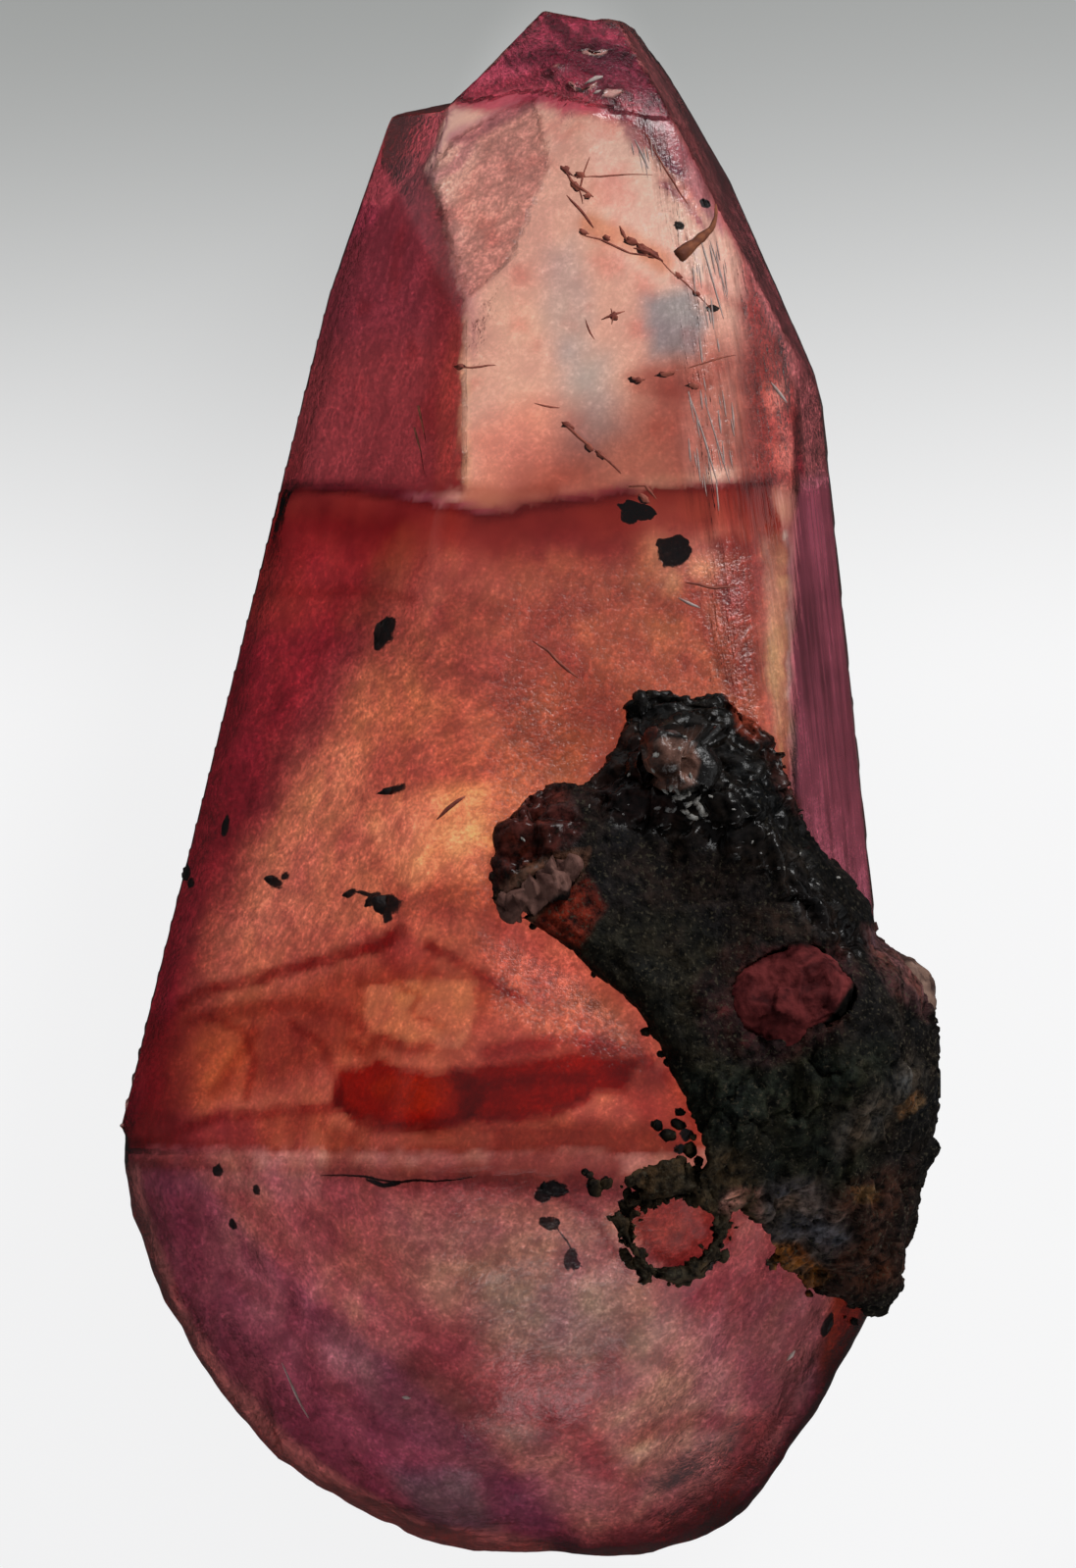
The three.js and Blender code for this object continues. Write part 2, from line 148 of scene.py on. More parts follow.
def line_distance(places, line):
    """Distance from places on the X and Y plane to a line of points."""
    nearest = np.full(len(places), np.inf)
    for start, end in zip(line[:-1], line[1:]):
        side = end - start
        share = np.clip((places - start) @ side / (side @ side), 0, 1)
        away = np.linalg.norm(places - start - share[:, None] * side, axis=1)
        nearest = np.minimum(nearest, away)
    return nearest


def outline_distance(places, outline):
    """Distance from places on the X and Y plane to a closed outline, negative inside it."""
    closed = np.concatenate([outline, outline[:1]])
    inside = np.zeros(len(places), bool)
    for start, end in zip(closed[:-1], closed[1:]):
        side = end - start
        crosses = (start[1] > places[:, 1]) != (end[1] > places[:, 1])
        rise = side[1] if side[1] else 1e-9
        inside ^= crosses & (places[:, 0] < start[0] + side[0] * (places[:, 1] - start[1]) / rise)
    nearest = line_distance(places, closed)
    return np.where(inside, -nearest, nearest)


# Meshes

LAYER_KINDS = {1: ("FLOAT", "value"), 3: ("FLOAT_VECTOR", "vector"), 4: ("FLOAT_COLOR", "color")}


def read_vectors(items, key):
    values = np.zeros(len(items) * 3, np.float32)
    items.foreach_get(key, values)
    return values.reshape(-1, 3).astype(float)


def points_of(mesh):
    return read_vectors(mesh.vertices, "co")


def normals_of(mesh):
    return read_vectors(mesh.vertex_normals, "vector")


def set_points(mesh, points):
    mesh.vertices.foreach_set("co", points.astype(np.float32).ravel())
    mesh.update()


def set_layer(mesh, name, values):
    """Stores a number, a place or a colour for each vertex, which a material reads by name."""
    kind, key = LAYER_KINDS[values.size // len(values)]
    layer = mesh.attributes.new(name, kind, "POINT")
    layer.data.foreach_set(key, values.astype(np.float32).ravel())


def set_tint(mesh, colours):
    set_layer(mesh, "tint", np.column_stack([colours, np.ones(len(colours))]))


def solid_of(mesh, points):
    """A solid that rays can be cast at, with the mesh's faces and the given points."""
    return BVHTree.FromPolygons(points.tolist(), [tuple(face.vertices) for face in mesh.polygons])


def add_object(name, data):
    made = bpy.data.objects.new(name, data)
    bpy.context.scene.collection.objects.link(made)
    return made


def even_mesh(node, voxel):
    """A CAD node's surface in millimetres, on an even mesh that is fine enough to be shaped."""
    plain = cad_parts[node].data.copy()
    plain.materials.clear()
    plain.transform(Matrix.Scale(METRE, 4))
    source = add_object(node + "_source", plain)
    shaped = add_object(node + "_even", plain.copy())
    remesh = shaped.modifiers.new("even", "REMESH")
    remesh.mode = "VOXEL"
    remesh.voxel_size = voxel
    wrap = shaped.modifiers.new("wrap", "SHRINKWRAP")
    wrap.target = source
    evaluated = shaped.evaluated_get(bpy.context.evaluated_depsgraph_get())
    mesh = bpy.data.meshes.new_from_object(evaluated)
    bpy.data.objects.remove(shaped)
    bpy.data.objects.remove(source)
    return mesh


def relax(mesh, points, weights, rounds):
    """Points moved towards the middle of their neighbours, each by its own weight."""
    edges = np.zeros(len(mesh.edges) * 2, np.int32)
    mesh.edges.foreach_get("vertices", edges)
    first, second = edges.reshape(-1, 2).T
    ends = np.concatenate([first, second])
    others = np.concatenate([second, first])
    counts = np.bincount(ends, minlength=len(points))
    for _ in range(rounds):
        sums = [np.bincount(ends, points[others, axis], len(points)) for axis in range(3)]
        points = points + weights[:, None] * (np.stack(sums, 1) / counts[:, None] - points)
    return points


def finish_piece(name, mesh, material, stands_for=()):
    """Scales a finished mesh to metres and makes it a piece of the specimen."""
    set_points(mesh, np.clip(points_of(mesh), LOW, HIGH) * MM)
    mesh.materials.clear()
    mesh.materials.append(material)
    mesh.shade_smooth()
    made = add_object(name, mesh)
    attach(made, "root")
    if stands_for:
        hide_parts(*stands_for)


# Material nodes

def colour(red, green, blue):
    return (red, green, blue, 1.0)


WHITE = colour(1.0, 1.0, 1.0)


class Look:
    """The node tree of a material or a world, the shader at its end and the nodes added to it."""

    def __init__(self, owner, shader="Principled BSDF"):
        owner.use_nodes = True
        self.tree = owner.node_tree
        self.shader = self.tree.nodes[shader]

    def put(self, socket, value):
        """Sets a socket to a value, or links it to another node's socket."""
        if isinstance(value, bpy.types.NodeSocket):
            self.tree.links.new(value, socket)
        else:
            socket.default_value = value

    def put_all(self, node, inputs):
        """Sets a node's inputs, which are named as in Blender, with _ for a space."""
        for name, value in inputs.items():
            self.put(node.inputs[name.replace("_", " ")], value)

    def shade(self, **inputs):
        """Sets the inputs of the shader."""
        self.put_all(self.shader, inputs)

    def node(self, kind, settings=(), **inputs):
        made = self.tree.nodes.new("ShaderNode" + kind)
        for name, value in dict(settings).items():
            setattr(made, name, value)
        self.put_all(made, inputs)
        return made

    def attribute(self, name, output="Fac"):
        return self.node("Attribute", {"attribute_name": name}).outputs[output]

    def place(self, turn=0.0):
        """Object coordinates in millimetres, turned about Z by some degrees."""
        where = self.node("TexCoord").outputs["Object"]
        turns = (0, 0, math.radians(turn))
        scale = (METRE, METRE, METRE)
        return self.node("Mapping", Vector=where, Rotation=turns, Scale=scale).outputs[0]

    def length(self, vector):
        made = self.node("VectorMath", {"operation": "LENGTH"})
        self.put(made.inputs[0], vector)
        return made.outputs["Value"]

    def noise(self, vector, scale, detail, rough, bend=0.0):
        made = self.node(
            "TexNoise", Vector=vector, Scale=scale, Detail=detail, Roughness=rough, Distortion=bend
        )
        return made.outputs["Fac"]

    def calc(self, operation, first, second):
        made = self.node("Math", {"operation": operation})
        self.put(made.inputs[0], first)
        self.put(made.inputs[1], second)
        return made.outputs[0]

    def remap(self, value, source, target=(0.0, 1.0)):
        """A value that goes from one end of source to the other, as a smooth one over target."""
        made = self.node(
            "MapRange", {"interpolation_type": "SMOOTHSTEP"}, Value=value,
            From_Min=source[0], From_Max=source[1], To_Min=target[0], To_Max=target[1],
        )
        return made.outputs[0]

    def mix(self, share, first, second, blend="MIX"):
        made = self.node("Mix", {"data_type": "RGBA", "blend_type": blend})
        sockets = {socket.identifier: socket for socket in made.inputs}
        self.put(sockets["Factor_Float"], share)
        self.put(sockets["A_Color"], first)
        self.put(sockets["B_Color"], second)
        return next(s for s in made.outputs if s.identifier == "Result_Color")

    def times(self, first, second):
        return self.mix(1.0, first, second, "MULTIPLY")

    def bump(self, height, strength, distance):
        """A bumped normal. The distance is in millimetres."""
        return self.node("Bump", Height=height, Distance=distance * MM, Strength=strength).outputs[0]


def material_look(name):
    """A new material and its look."""
    material = bpy.data.materials.new(name)
    return material, Look(material)


# The crystal

# Zones of its colour: the outline in the photograph's pixels, x and y in turn, the blur of the
# border in millimetres, and the shares of red, green and blue light that get through. Zones whose
# shares are all above 1 are painted light: brighter patches where light comes through the crystal.
COLOUR_ZONES = {
    # Painted shade in the next three zones: the dark left side, where the crystal refracts its dark
    # surroundings
    "left_flank": (
        [461, 90, 441, 185, 476, 310, 474, 508, 200, 500, 220, 420, 330, 120], 0.06, (0.28, 0.055, 0.08),
    ),
    "left_body": (
        [200, 496, 450, 508, 400, 600, 345, 700, 280, 830, 222, 960, 185, 1150, 60, 1180, 60, 1000],
        0.4, (0.44, 0.08, 0.24),
    ),
    "upper_flank": ([461, 90, 441, 185, 478, 310, 478, 350, 300, 350, 340, 90], 0.3, (0.82, 0.78, 0.95)),
    "flank_edge": ([460, 330, 477, 330, 477, 496, 444, 500, 450, 400], 0.06, (1.25, 1.5, 1.2)),
    "left_corner": ([461, 100, 436, 168, 386, 218, 340, 262, 300, 180, 390, 90], 0.06, (1.52, 1.36, 1.6)),
    "frosted": ([543, 104, 465, 145, 432, 190, 480, 308, 518, 275, 560, 175], 0.04, (0.8, 0.62, 0.64)),
    "tip": (
        [500, 0, 460, 116, 500, 122, 545, 110, 572, 124, 604, 122, 655, 136, 704, 142, 660, 0],
        0.07, (0.64, 0.13, 0.27),
    ),
    "top_right": ([620, 10, 668, 110, 735, 200, 760, 290, 830, 330, 760, 60], 0.1, (0.9, 0.5, 0.6)),
    "tip_blotch": ([520, 60, 560, 30, 620, 40, 640, 80, 600, 104, 550, 92], 0.1, (0.66, 0.52, 0.6)),
    "tip_right": ([596, 44, 652, 60, 690, 120, 664, 122, 612, 104], 0.06, (0.48, 0.52, 0.58)),
    "tip_shadow": ([655, 115, 700, 150, 745, 225, 735, 245, 690, 190, 650, 140], 0.06, (0.6, 0.4, 0.55)),
    "peach": ([440, 90, 640, 90, 770, 230, 800, 540, 440, 560], 0.2, (0.89, 0.735, 0.665)),
    "blue_upper": (
        [556, 262, 586, 250, 604, 300, 600, 360, 572, 372, 552, 320], 0.16, (0.78, 0.95, 1.05),
    ),
    "blue_patch": ([575, 360, 620, 370, 630, 440, 600, 490, 570, 470], 0.25, (0.64, 0.88, 1.05)),
    "blue_window": ([656, 312, 700, 300, 722, 330, 712, 368, 668, 372], 0.12, (0.48, 0.76, 0.98)),
    "lower_peach": (
        [500, 500, 560, 460, 630, 420, 690, 370, 800, 330, 800, 530, 480, 540], 0.4, (0.56, 0.33, 0.29),
    ),
    "rosy": ([660, 380, 780, 360, 790, 500, 690, 500], 0.3, (0.85, 0.7, 0.75)),
    "right_facets": (
        [740, 190, 754, 300, 760, 400, 766, 500, 900, 500, 840, 300], 0.12, (0.54, 0.18, 0.21),
    ),
    "right_band": ([812, 470, 812, 700, 822, 950, 930, 950, 870, 450], 0.05, (2.2, 0.55, 1.4)),
    "body": (
        [200, 496, 330, 498, 395, 503, 500, 525, 650, 502, 780, 495, 800, 560, 800, 800, 960, 1000,
         960, 1170, 60, 1170], 0.04, (0.53, 0.19, 0.14),
    ),
    "peach_foot": ([478, 446, 540, 412, 596, 410, 610, 500, 478, 512], 0.2, (1.0, 0.72, 0.68)),
    # Painted shade on the crystal beside the rock
    "rock_rim_shade": ([590, 1000, 650, 1036, 684, 1110, 650, 1110, 610, 1066], 0.1, (0.66, 0.7, 0.7)),
    "low_right_dark": ([752, 1310, 830, 1300, 850, 1400, 790, 1440, 755, 1420], 0.1, (0.72, 0.8, 0.85)),
    "facet_inner": ([746, 240, 768, 330, 771, 400, 772, 500, 762, 500, 756, 400], 0.06, (0.8, 0.7, 0.74)),
    "below_window": ([396, 900, 500, 896, 505, 930, 400, 936], 0.1, (0.8, 0.65, 0.65)),
    "under_streaks": ([724, 556, 770, 556, 776, 720, 740, 712, 730, 640], 0.08, (0.68, 0.52, 0.58)),
    "tip_foot": ([640, 118, 700, 140, 716, 170, 690, 176, 650, 150], 0.06, (0.75, 0.56, 0.6)),
    "brown_veil": ([636, 386, 690, 376, 736, 388, 704, 410, 650, 408], 0.08, (0.74, 0.52, 0.5)),
    "rock_shadow": ([500, 690, 620, 680, 650, 740, 590, 790, 510, 790], 0.3, (0.8, 0.68, 0.62)),
    "girdle_left": ([100, 1128, 262, 1136, 270, 1172, 100, 1176], 0.12, (0.7, 0.45, 0.75)),
    "deep_body": (
        [250, 560, 800, 580, 760, 760, 560, 800, 420, 720, 330, 760, 180, 700], 0.5, (0.88, 0.86, 0.82),
    ),
    "purple_shoulder": ([300, 560, 500, 600, 520, 680, 430, 700, 330, 690], 0.4, (0.82, 0.7, 0.85)),
    "arc_stain": (
        [150, 1035, 300, 1005, 400, 968, 530, 1005, 470, 1060, 350, 1080, 240, 1120, 130, 1160],
        0.16, (0.72, 0.5, 0.42),
    ),
    "arc_knot": ([372, 950, 420, 940, 452, 968, 440, 1000, 400, 990], 0.12, (0.7, 0.4, 0.5)),
    "left_blob": ([262, 1040, 320, 1036, 334, 1080, 310, 1120, 268, 1112], 0.14, (0.78, 0.6, 0.7)),
    "lens": (
        [345, 1086, 385, 1080, 450, 1090, 500, 1076, 590, 1068, 655, 1076, 640, 1108, 608, 1112,
         555, 1133, 483, 1135, 430, 1144, 395, 1146, 362, 1134, 346, 1122], 0.05, (0.46, 0.035, 0.014),
    ),
    "lens_right": (
        [486, 1088, 590, 1080, 640, 1084, 628, 1100, 556, 1122, 488, 1126], 0.08, (0.85, 0.8, 1.5),
    ),
    "lens_tail": ([600, 1066, 690, 1090, 724, 1150, 690, 1180, 640, 1120], 0.12, (0.75, 0.45, 0.5)),
    "under_line": (
        [130, 1140, 260, 1130, 345, 1124, 330, 1150, 250, 1180, 120, 1200], 0.12, (0.8, 0.6, 0.55),
    ),
    "lower_end": (
        [60, 1172, 340, 1186, 560, 1194, 760, 1200, 980, 1250, 900, 1700, 100, 1700],
        0.14, (0.37, 0.135, 0.17),
    ),
    "under_lens": ([330, 1144, 660, 1136, 760, 1200, 560, 1214, 330, 1200], 0.1, (0.5, 0.32, 0.3)),
    "ring_patch": (
        [640, 1212, 700, 1195, 742, 1225, 735, 1266, 690, 1290, 645, 1255], 0.06, (0.75, 0.42, 0.36),
    ),
    "brown_rim": ([850, 1300, 915, 1290, 890, 1400, 840, 1440, 832, 1380], 0.08, (0.7, 0.3, 0.14)),
    "lower_sides": (
        [60, 1150, 200, 1150, 240, 1330, 360, 1470, 520, 1540, 700, 1530, 840, 1380, 960, 1200,
         980, 1700, 60, 1700], 0.3, (0.75, 0.55, 0.62),
    ),
    "low_left": (
        [60, 1180, 200, 1190, 290, 1290, 364, 1350, 470, 1440, 600, 1570, 480, 1640, 60, 1640],
        0.1, (0.74, 0.66, 0.95),
    ),
    "low_shadow": (
        [330, 1340, 420, 1375, 506, 1425, 560, 1450, 500, 1500, 380, 1440], 0.2, (0.74, 0.92, 0.88),
    ),
    "bottom_spots": ([490, 1500, 540, 1490, 580, 1530, 560, 1555, 500, 1545], 0.12, (0.7, 0.7, 0.9)),
    "left_under_fracture": ([200, 500, 420, 540, 380, 630, 200, 650], 0.25, (1.25, 2.1, 1.15)),
    "left_middle": (
        [300, 800, 350, 776, 404, 840, 380, 940, 230, 960, 260, 850], 0.25, (1.25, 1.55, 1.4),
    ),
    "peach_top": (
        [600, 130, 640, 130, 690, 200, 730, 250, 736, 310, 660, 300, 610, 240], 0.12, (1.2, 1.3, 1.35),
    ),
    "streak_foot": ([722, 480, 754, 480, 758, 546, 728, 548], 0.06, (1.6, 2.6, 2.7)),
    # Painted light on the right facet
    "facet_light": ([764, 340, 800, 380, 800, 480, 770, 490], 0.1, (1.35, 1.6, 1.5)),
    "streak_low": ([692, 384, 748, 384, 752, 492, 700, 500], 0.08, (1.3, 1.75, 1.85)),
    "frosted_left": ([440, 180, 466, 150, 490, 150, 486, 230, 470, 250], 0.08, (1.3, 1.55, 1.5)),
    "under_lens_left": ([370, 1152, 500, 1148, 500, 1180, 370, 1180], 0.06, (1.3, 1.9, 2.0)),
    "pale_strip": (
        [846, 1385, 822, 1440, 760, 1530, 745, 1520, 800, 1440, 830, 1385], 0.06, (1.7, 2.4, 2.3),
    ),
    "girdle_pink": ([110, 1184, 330, 1190, 330, 1214, 124, 1214], 0.06, (1.1, 1.4, 1.3)),
    "left_upper": ([296, 560, 384, 560, 372, 680, 300, 740, 270, 700], 0.2, (1.4, 1.5, 1.5)),
    "low_left_lit": ([300, 1290, 380, 1300, 420, 1370, 380, 1400, 320, 1390], 0.2, (1.4, 1.9, 1.8)),
    "bottom_grey": ([400, 1490, 480, 1490, 510, 1560, 440, 1560], 0.15, (0.7, 1.7, 1.45)),
    "step": ([423, 812, 500, 800, 500, 930, 426, 905], 0.04, (1.12, 1.2, 1.12)),
    # Painted sheen: a greyer tint for a soft grey reflection on the lower end
    "sheen_spot": ([500, 1300, 620, 1300, 660, 1370, 560, 1410, 480, 1370], 0.3, (0.85, 1.15, 1.1)),
    "facet_spot_high": ([774, 398, 800, 394, 806, 414, 782, 426], 0.06, (1.9, 2.8, 2.6)),
    "facet_spot_mid": ([790, 432, 806, 440, 800, 452, 786, 446], 0.05, (1.6, 2.0, 1.9)),
    "facet_spot_low": ([776, 458, 806, 456, 812, 476, 790, 484], 0.05, (1.6, 2.2, 2.0)),
    "right_window": ([774, 548, 799, 545, 801, 700, 794, 800, 782, 700], 0.05, (1.3, 2.9, 2.7)),
    "right_of_fracture": ([640, 505, 728, 500, 734, 590, 680, 600], 0.2, (1.5, 3.0, 2.7)),
    "fracture_middle": ([440, 520, 660, 505, 680, 600, 440, 610], 0.25, (1.1, 1.3, 1.3)),
    "window": ([404, 812, 500, 806, 494, 896, 424, 892, 386, 840], 0.2, (1.75, 2.6, 2.2)),
    "above_window": ([400, 700, 500, 720, 500, 812, 404, 816, 370, 760], 0.25, (1.08, 1.08, 1.02)),
    "by_the_rock": (
        [500, 740, 610, 760, 560, 800, 500, 860, 490, 930, 440, 900, 450, 800], 0.3, (1.1, 1.15, 1.0),
    ),
    "warm_spot": ([462, 812, 502, 806, 500, 866, 464, 872], 0.12, (0.95, 0.85, 0.93)),
    "low_window": ([470, 960, 560, 940, 640, 1050, 560, 1060, 480, 1040], 0.25, (1.3, 1.5, 1.3)),
    "island": (
        [372, 1000, 430, 990, 482, 1000, 486, 1030, 470, 1062, 420, 1064, 376, 1046],
        0.04, (1.5, 2.7, 2.6),
    ),
    "lens_glow": ([380, 1104, 420, 1092, 470, 1098, 462, 1124, 410, 1132], 0.06, (1.15, 2.4, 1.2)),
    "left_window": ([200, 1060, 262, 1050, 262, 1110, 210, 1130], 0.2, (1.35, 1.5, 1.2)),
    "mid_low": (
        [400, 1230, 640, 1230, 690, 1330, 590, 1376, 500, 1350, 430, 1320], 0.3, (1.35, 2.55, 2.05),
    ),
    "low_right": (
        [660, 1340, 744, 1340, 748, 1430, 730, 1500, 650, 1530, 610, 1420], 0.2, (1.36, 2.6, 2.15),
    ),
    "low_glow": ([500, 1440, 580, 1450, 640, 1540, 600, 1560, 540, 1500], 0.15, (1.42, 2.1, 1.85)),
}
# Where a colour is laid over the zones, in the same way
PAINTED_ZONES = {
    "right_upper_rim": (
        [612, 4, 648, 60, 684, 124, 722, 200, 758, 280, 786, 330, 812, 400, 818, 500, 900, 560, 900, 300,
         700, 0], 0.03, (0.64, 0.3, 0.35),
    ),
    "corner": ([380, 96, 462, 96, 438, 166, 392, 214, 362, 200], 0.05, (0.64, 0.12, 0.19)),
    # Painted shade over the lit lower edge of the corner
    "corner_low": ([362, 176, 428, 166, 412, 196, 392, 216, 360, 206], 0.05, (0.44, 0.1, 0.16)),
    "right_band": (
        [810, 490, 806, 600, 803, 700, 816, 950, 940, 955, 890, 480], 0.04, (0.85, 0.43, 0.56),
    ),
    "low_left_rim": (
        [110, 1190, 142, 1190, 158, 1260, 190, 1330, 232, 1396, 292, 1462, 360, 1510, 440, 1550,
         560, 1568, 560, 1620, 400, 1620, 240, 1520, 140, 1400, 100, 1280], 0.08, (0.5, 0.22, 0.24),
    ),
}
# Soft stained lines: pixels, half the width and the blur in pixels, and the shares of light
STAIN_LINES = [
    ([272, 520, 300, 502, 340, 499, 395, 504, 440, 514, 500, 527, 560, 518, 640, 503],
     3, 9, (0.5, 0.2, 0.35)),
    ([640, 503, 700, 500, 786, 494], 2, 8, (0.6, 0.35, 0.45)),
    ([232, 604, 300, 606, 352, 604, 420, 612], 2, 8, (0.8, 0.6, 0.6)),
    ([190, 1022, 217, 1008, 260, 998, 320, 980, 391, 961, 410, 945], 4, 7, (0.42, 0.06, 0.07)),
    ([440, 960, 466, 976, 500, 996, 534, 1016], 3, 7, (0.45, 0.07, 0.08)),
    ([200, 1040, 240, 1030, 300, 1020, 350, 1030, 372, 1044], 4, 8, (0.75, 0.5, 0.5)),
    ([346, 1124, 320, 1128, 287, 1130, 223, 1136, 170, 1158, 130, 1166], 3, 7, (0.6, 0.25, 0.3)),
    ([346, 1100, 348, 1122, 370, 1138, 395, 1147, 430, 1145, 483, 1136, 555, 1134, 600, 1116],
     3, 6, (0.45, 0.06, 0.08)),
    ([470, 1096, 486, 1108, 478, 1124], 7, 8, (0.45, 0.3, 0.6)),
    ([360, 1062, 376, 1072, 392, 1058, 420, 1066, 440, 1062], 4, 7, (0.7, 0.4, 0.4)),
    ([222, 1112, 236, 1090, 250, 1070, 262, 1050], 3, 7, (0.75, 0.5, 0.45)),
    ([685, 568, 712, 630, 740, 694, 770, 748, 800, 790, 860, 866], 3, 7, (0.7, 0.5, 0.6)),
    ([430, 200, 446, 236, 466, 280, 480, 312, 482, 370], 2, 6, (0.88, 0.8, 0.85)),
    ([464, 146, 500, 130, 544, 106], 4, 9, (0.7, 0.5, 0.65)),
    ([440, 186, 466, 176, 482, 150], 3, 6, (0.75, 0.6, 0.7)),
    ([600, 236, 640, 250, 676, 274], 5, 12, (0.85, 0.62, 0.5)),
    ([690, 290, 730, 305, 776, 330], 2, 8, (0.8, 0.6, 0.6)),
    ([336, 1347, 380, 1362, 440, 1388, 506, 1429], 8, 20, (0.75, 0.6, 0.65)),
    ([318, 1388, 330, 1330, 352, 1300], 4, 14, (0.8, 0.65, 0.7)),
    ([560, 1440, 600, 1480, 650, 1500, 700, 1490], 8, 16, (0.75, 0.55, 0.6)),
    ([640, 1460, 700, 1440, 770, 1450], 4, 12, (0.75, 0.5, 0.55)),
    ([460, 1195, 520, 1200, 620, 1196, 700, 1190], 2, 6, (0.8, 0.6, 0.6)),
    ([400, 1170, 520, 1160, 640, 1166, 740, 1180], 2, 6, (0.85, 0.7, 0.7)),
    ([430, 1150, 540, 1148, 660, 1154], 2, 5, (0.88, 0.75, 0.75)),
    ([200, 1180, 260, 1230, 300, 1290, 312, 1350], 5, 14, (0.85, 0.7, 0.75)),
    ([382, 600, 376, 640, 336, 703, 313, 749, 275, 815], 8, 22, (0.74, 0.55, 0.75)),
    ([480, 506, 520, 514, 560, 506], 5, 12, (0.7, 0.52, 0.46)),
    ([804, 500, 806, 600, 808, 730], 5, 6, (0.75, 0.55, 0.55)),
    ([110, 1174, 240, 1178, 420, 1182, 620, 1184], 9, 10, (0.62, 0.36, 0.36)),
    ([370, 1000, 400, 996, 430, 1012, 420, 1030, 452, 1044], 2, 4, (0.75, 0.5, 0.45)),
    ([210, 1034, 250, 1050, 262, 1080, 254, 1116], 2, 6, (0.7, 0.4, 0.4)),
    ([300, 1040, 330, 1060, 340, 1090], 2, 6, (0.7, 0.4, 0.4)),
    ([500, 1068, 560, 1060, 620, 1062, 660, 1078], 5, 8, (0.62, 0.25, 0.3)),
    ([500, 1100, 540, 1096, 600, 1094], 3, 6, (0.7, 0.5, 0.6)),
    ([612, 104, 636, 126, 650, 156], 4, 6, (0.35, 0.16, 0.3)),
    ([654, 128, 668, 158, 690, 182], 4, 5, (0.3, 0.12, 0.25)),
    ([676, 192, 700, 214, 714, 236], 2, 5, (0.4, 0.2, 0.3)),
    ([520, 70, 560, 60, 600, 78], 4, 8, (0.4, 0.25, 0.35)),
    ([560, 24, 580, 50, 600, 60, 640, 66], 3, 8, (0.4, 0.25, 0.35)),
    ([470, 112, 510, 92, 540, 88], 4, 6, (0.6, 0.4, 0.5)),
    ([650, 1230, 662, 1206, 700, 1192, 736, 1212, 740, 1256], 4, 6, (0.7, 0.32, 0.25)),
    ([650, 1240, 664, 1270, 690, 1288, 724, 1278], 4, 6, (0.6, 0.3, 0.3)),
    ([240, 1300, 300, 1330, 330, 1400, 400, 1450], 4, 12, (0.75, 0.6, 0.65)),
    ([560, 1210, 600, 1230, 640, 1290], 2, 5, (0.6, 0.4, 0.45)),
]
FRACTURE_LINE = STAIN_LINES[0][0] + STAIN_LINES[1][0][2:]
# How etched the surface is: an outline, the blur and an amount
ETCHED_ZONES = {
    "frosted_facet": ([543, 104, 465, 145, 432, 190, 480, 308, 518, 275, 560, 175], 0.05, 0.6),
    "tip": ([500, 0, 470, 110, 540, 98, 600, 112, 655, 125, 700, 130, 660, 0], 0.1, 1.1),
    "left_flank": ([461, 90, 441, 185, 476, 310, 474, 496, 200, 498, 250, 380, 330, 100], 0.1, 0.5),
    "upper": ([480, 110, 640, 110, 780, 240, 790, 500, 480, 500], 0.1, 0.2),
    "tip_foot": ([632, 100, 724, 116, 738, 200, 690, 200, 640, 150], 0.1, 0.4),
    "right_facet": ([740, 190, 754, 300, 766, 500, 900, 500, 840, 300], 0.1, 0.7),
    "lower_end": (
        [60, 1165, 340, 1180, 560, 1190, 760, 1200, 980, 1250, 900, 1700, 100, 1700], 0.2, 0.55,
    ),
    "body": (
        [200, 560, 330, 560, 500, 580, 650, 560, 780, 560, 800, 800, 960, 1000, 960, 1190, 60, 1190],
        0.5, 0.45,
    ),
    "left_middle": ([260, 620, 420, 600, 600, 700, 600, 900, 400, 1000, 180, 1080, 160, 950], 0.5, 0.6),
    "by_the_rock": ([480, 940, 580, 960, 680, 1080, 600, 1080, 500, 1040], 0.2, 0.9),
}
# Where the etching is fainter, round the lens, and by which share
GLASSY_BELT = [100, 1000, 300, 960, 440, 940, 560, 1010, 680, 1090, 720, 1180, 100, 1180]
GLASSY_SHARE = 0.25
# How milky it is, in the same way, and how milky the rest is
MILKY_ZONES = {
    "frosted_facet": (ETCHED_ZONES["frosted_facet"][0], 0.06, 0.16),
    "tip": (ETCHED_ZONES["tip"][0], 0.1, 0.1),
    "lower_end": (ETCHED_ZONES["lower_end"][0], 0.3, 0.14),
    # Painted sheen: milkiness that stands in for a soft grey reflection on the lower end
    "sheen_heart": ([440, 1240, 600, 1240, 680, 1340, 600, 1420, 470, 1360], 0.5, 0.34),
    "low_glow": ([500, 1440, 580, 1450, 640, 1540, 600, 1560, 540, 1500], 0.2, 0.4),
    "pale_rim": ([858, 1372, 836, 1440, 750, 1556, 730, 1550, 800, 1470, 840, 1380], 0.06, 0.6),
    "left_middle": (ETCHED_ZONES["left_middle"][0], 0.6, 0.06),
    "right_upper_rim": (PAINTED_ZONES["right_upper_rim"][0], 0.04, 0.32),
    "right_band": (PAINTED_ZONES["right_band"][0], 0.05, 0.4),
    "low_left_rim": (PAINTED_ZONES["low_left_rim"][0], 0.1, 0.3),
    "corner": (PAINTED_ZONES["corner"][0], 0.05, 0.05),
}
LEAST_MILK = 0.02
# Where growth lines run along the crystal
LINED_ZONES = {
    "right_side": ([640, 110, 700, 130, 790, 200, 850, 470, 790, 560, 700, 560, 690, 300], 0.3, 0.8),
    "right_low": ([780, 480, 860, 480, 960, 1000, 800, 1000], 0.3, 0.55),
    "under_right": ([690, 380, 780, 380, 800, 800, 740, 760, 700, 560], 0.3, 0.7),
}
BACK_FACETS = [(270, 0), (208, 12.5), (330, 5.6), (268, 50)]  # azimuth and lean in the CAD model
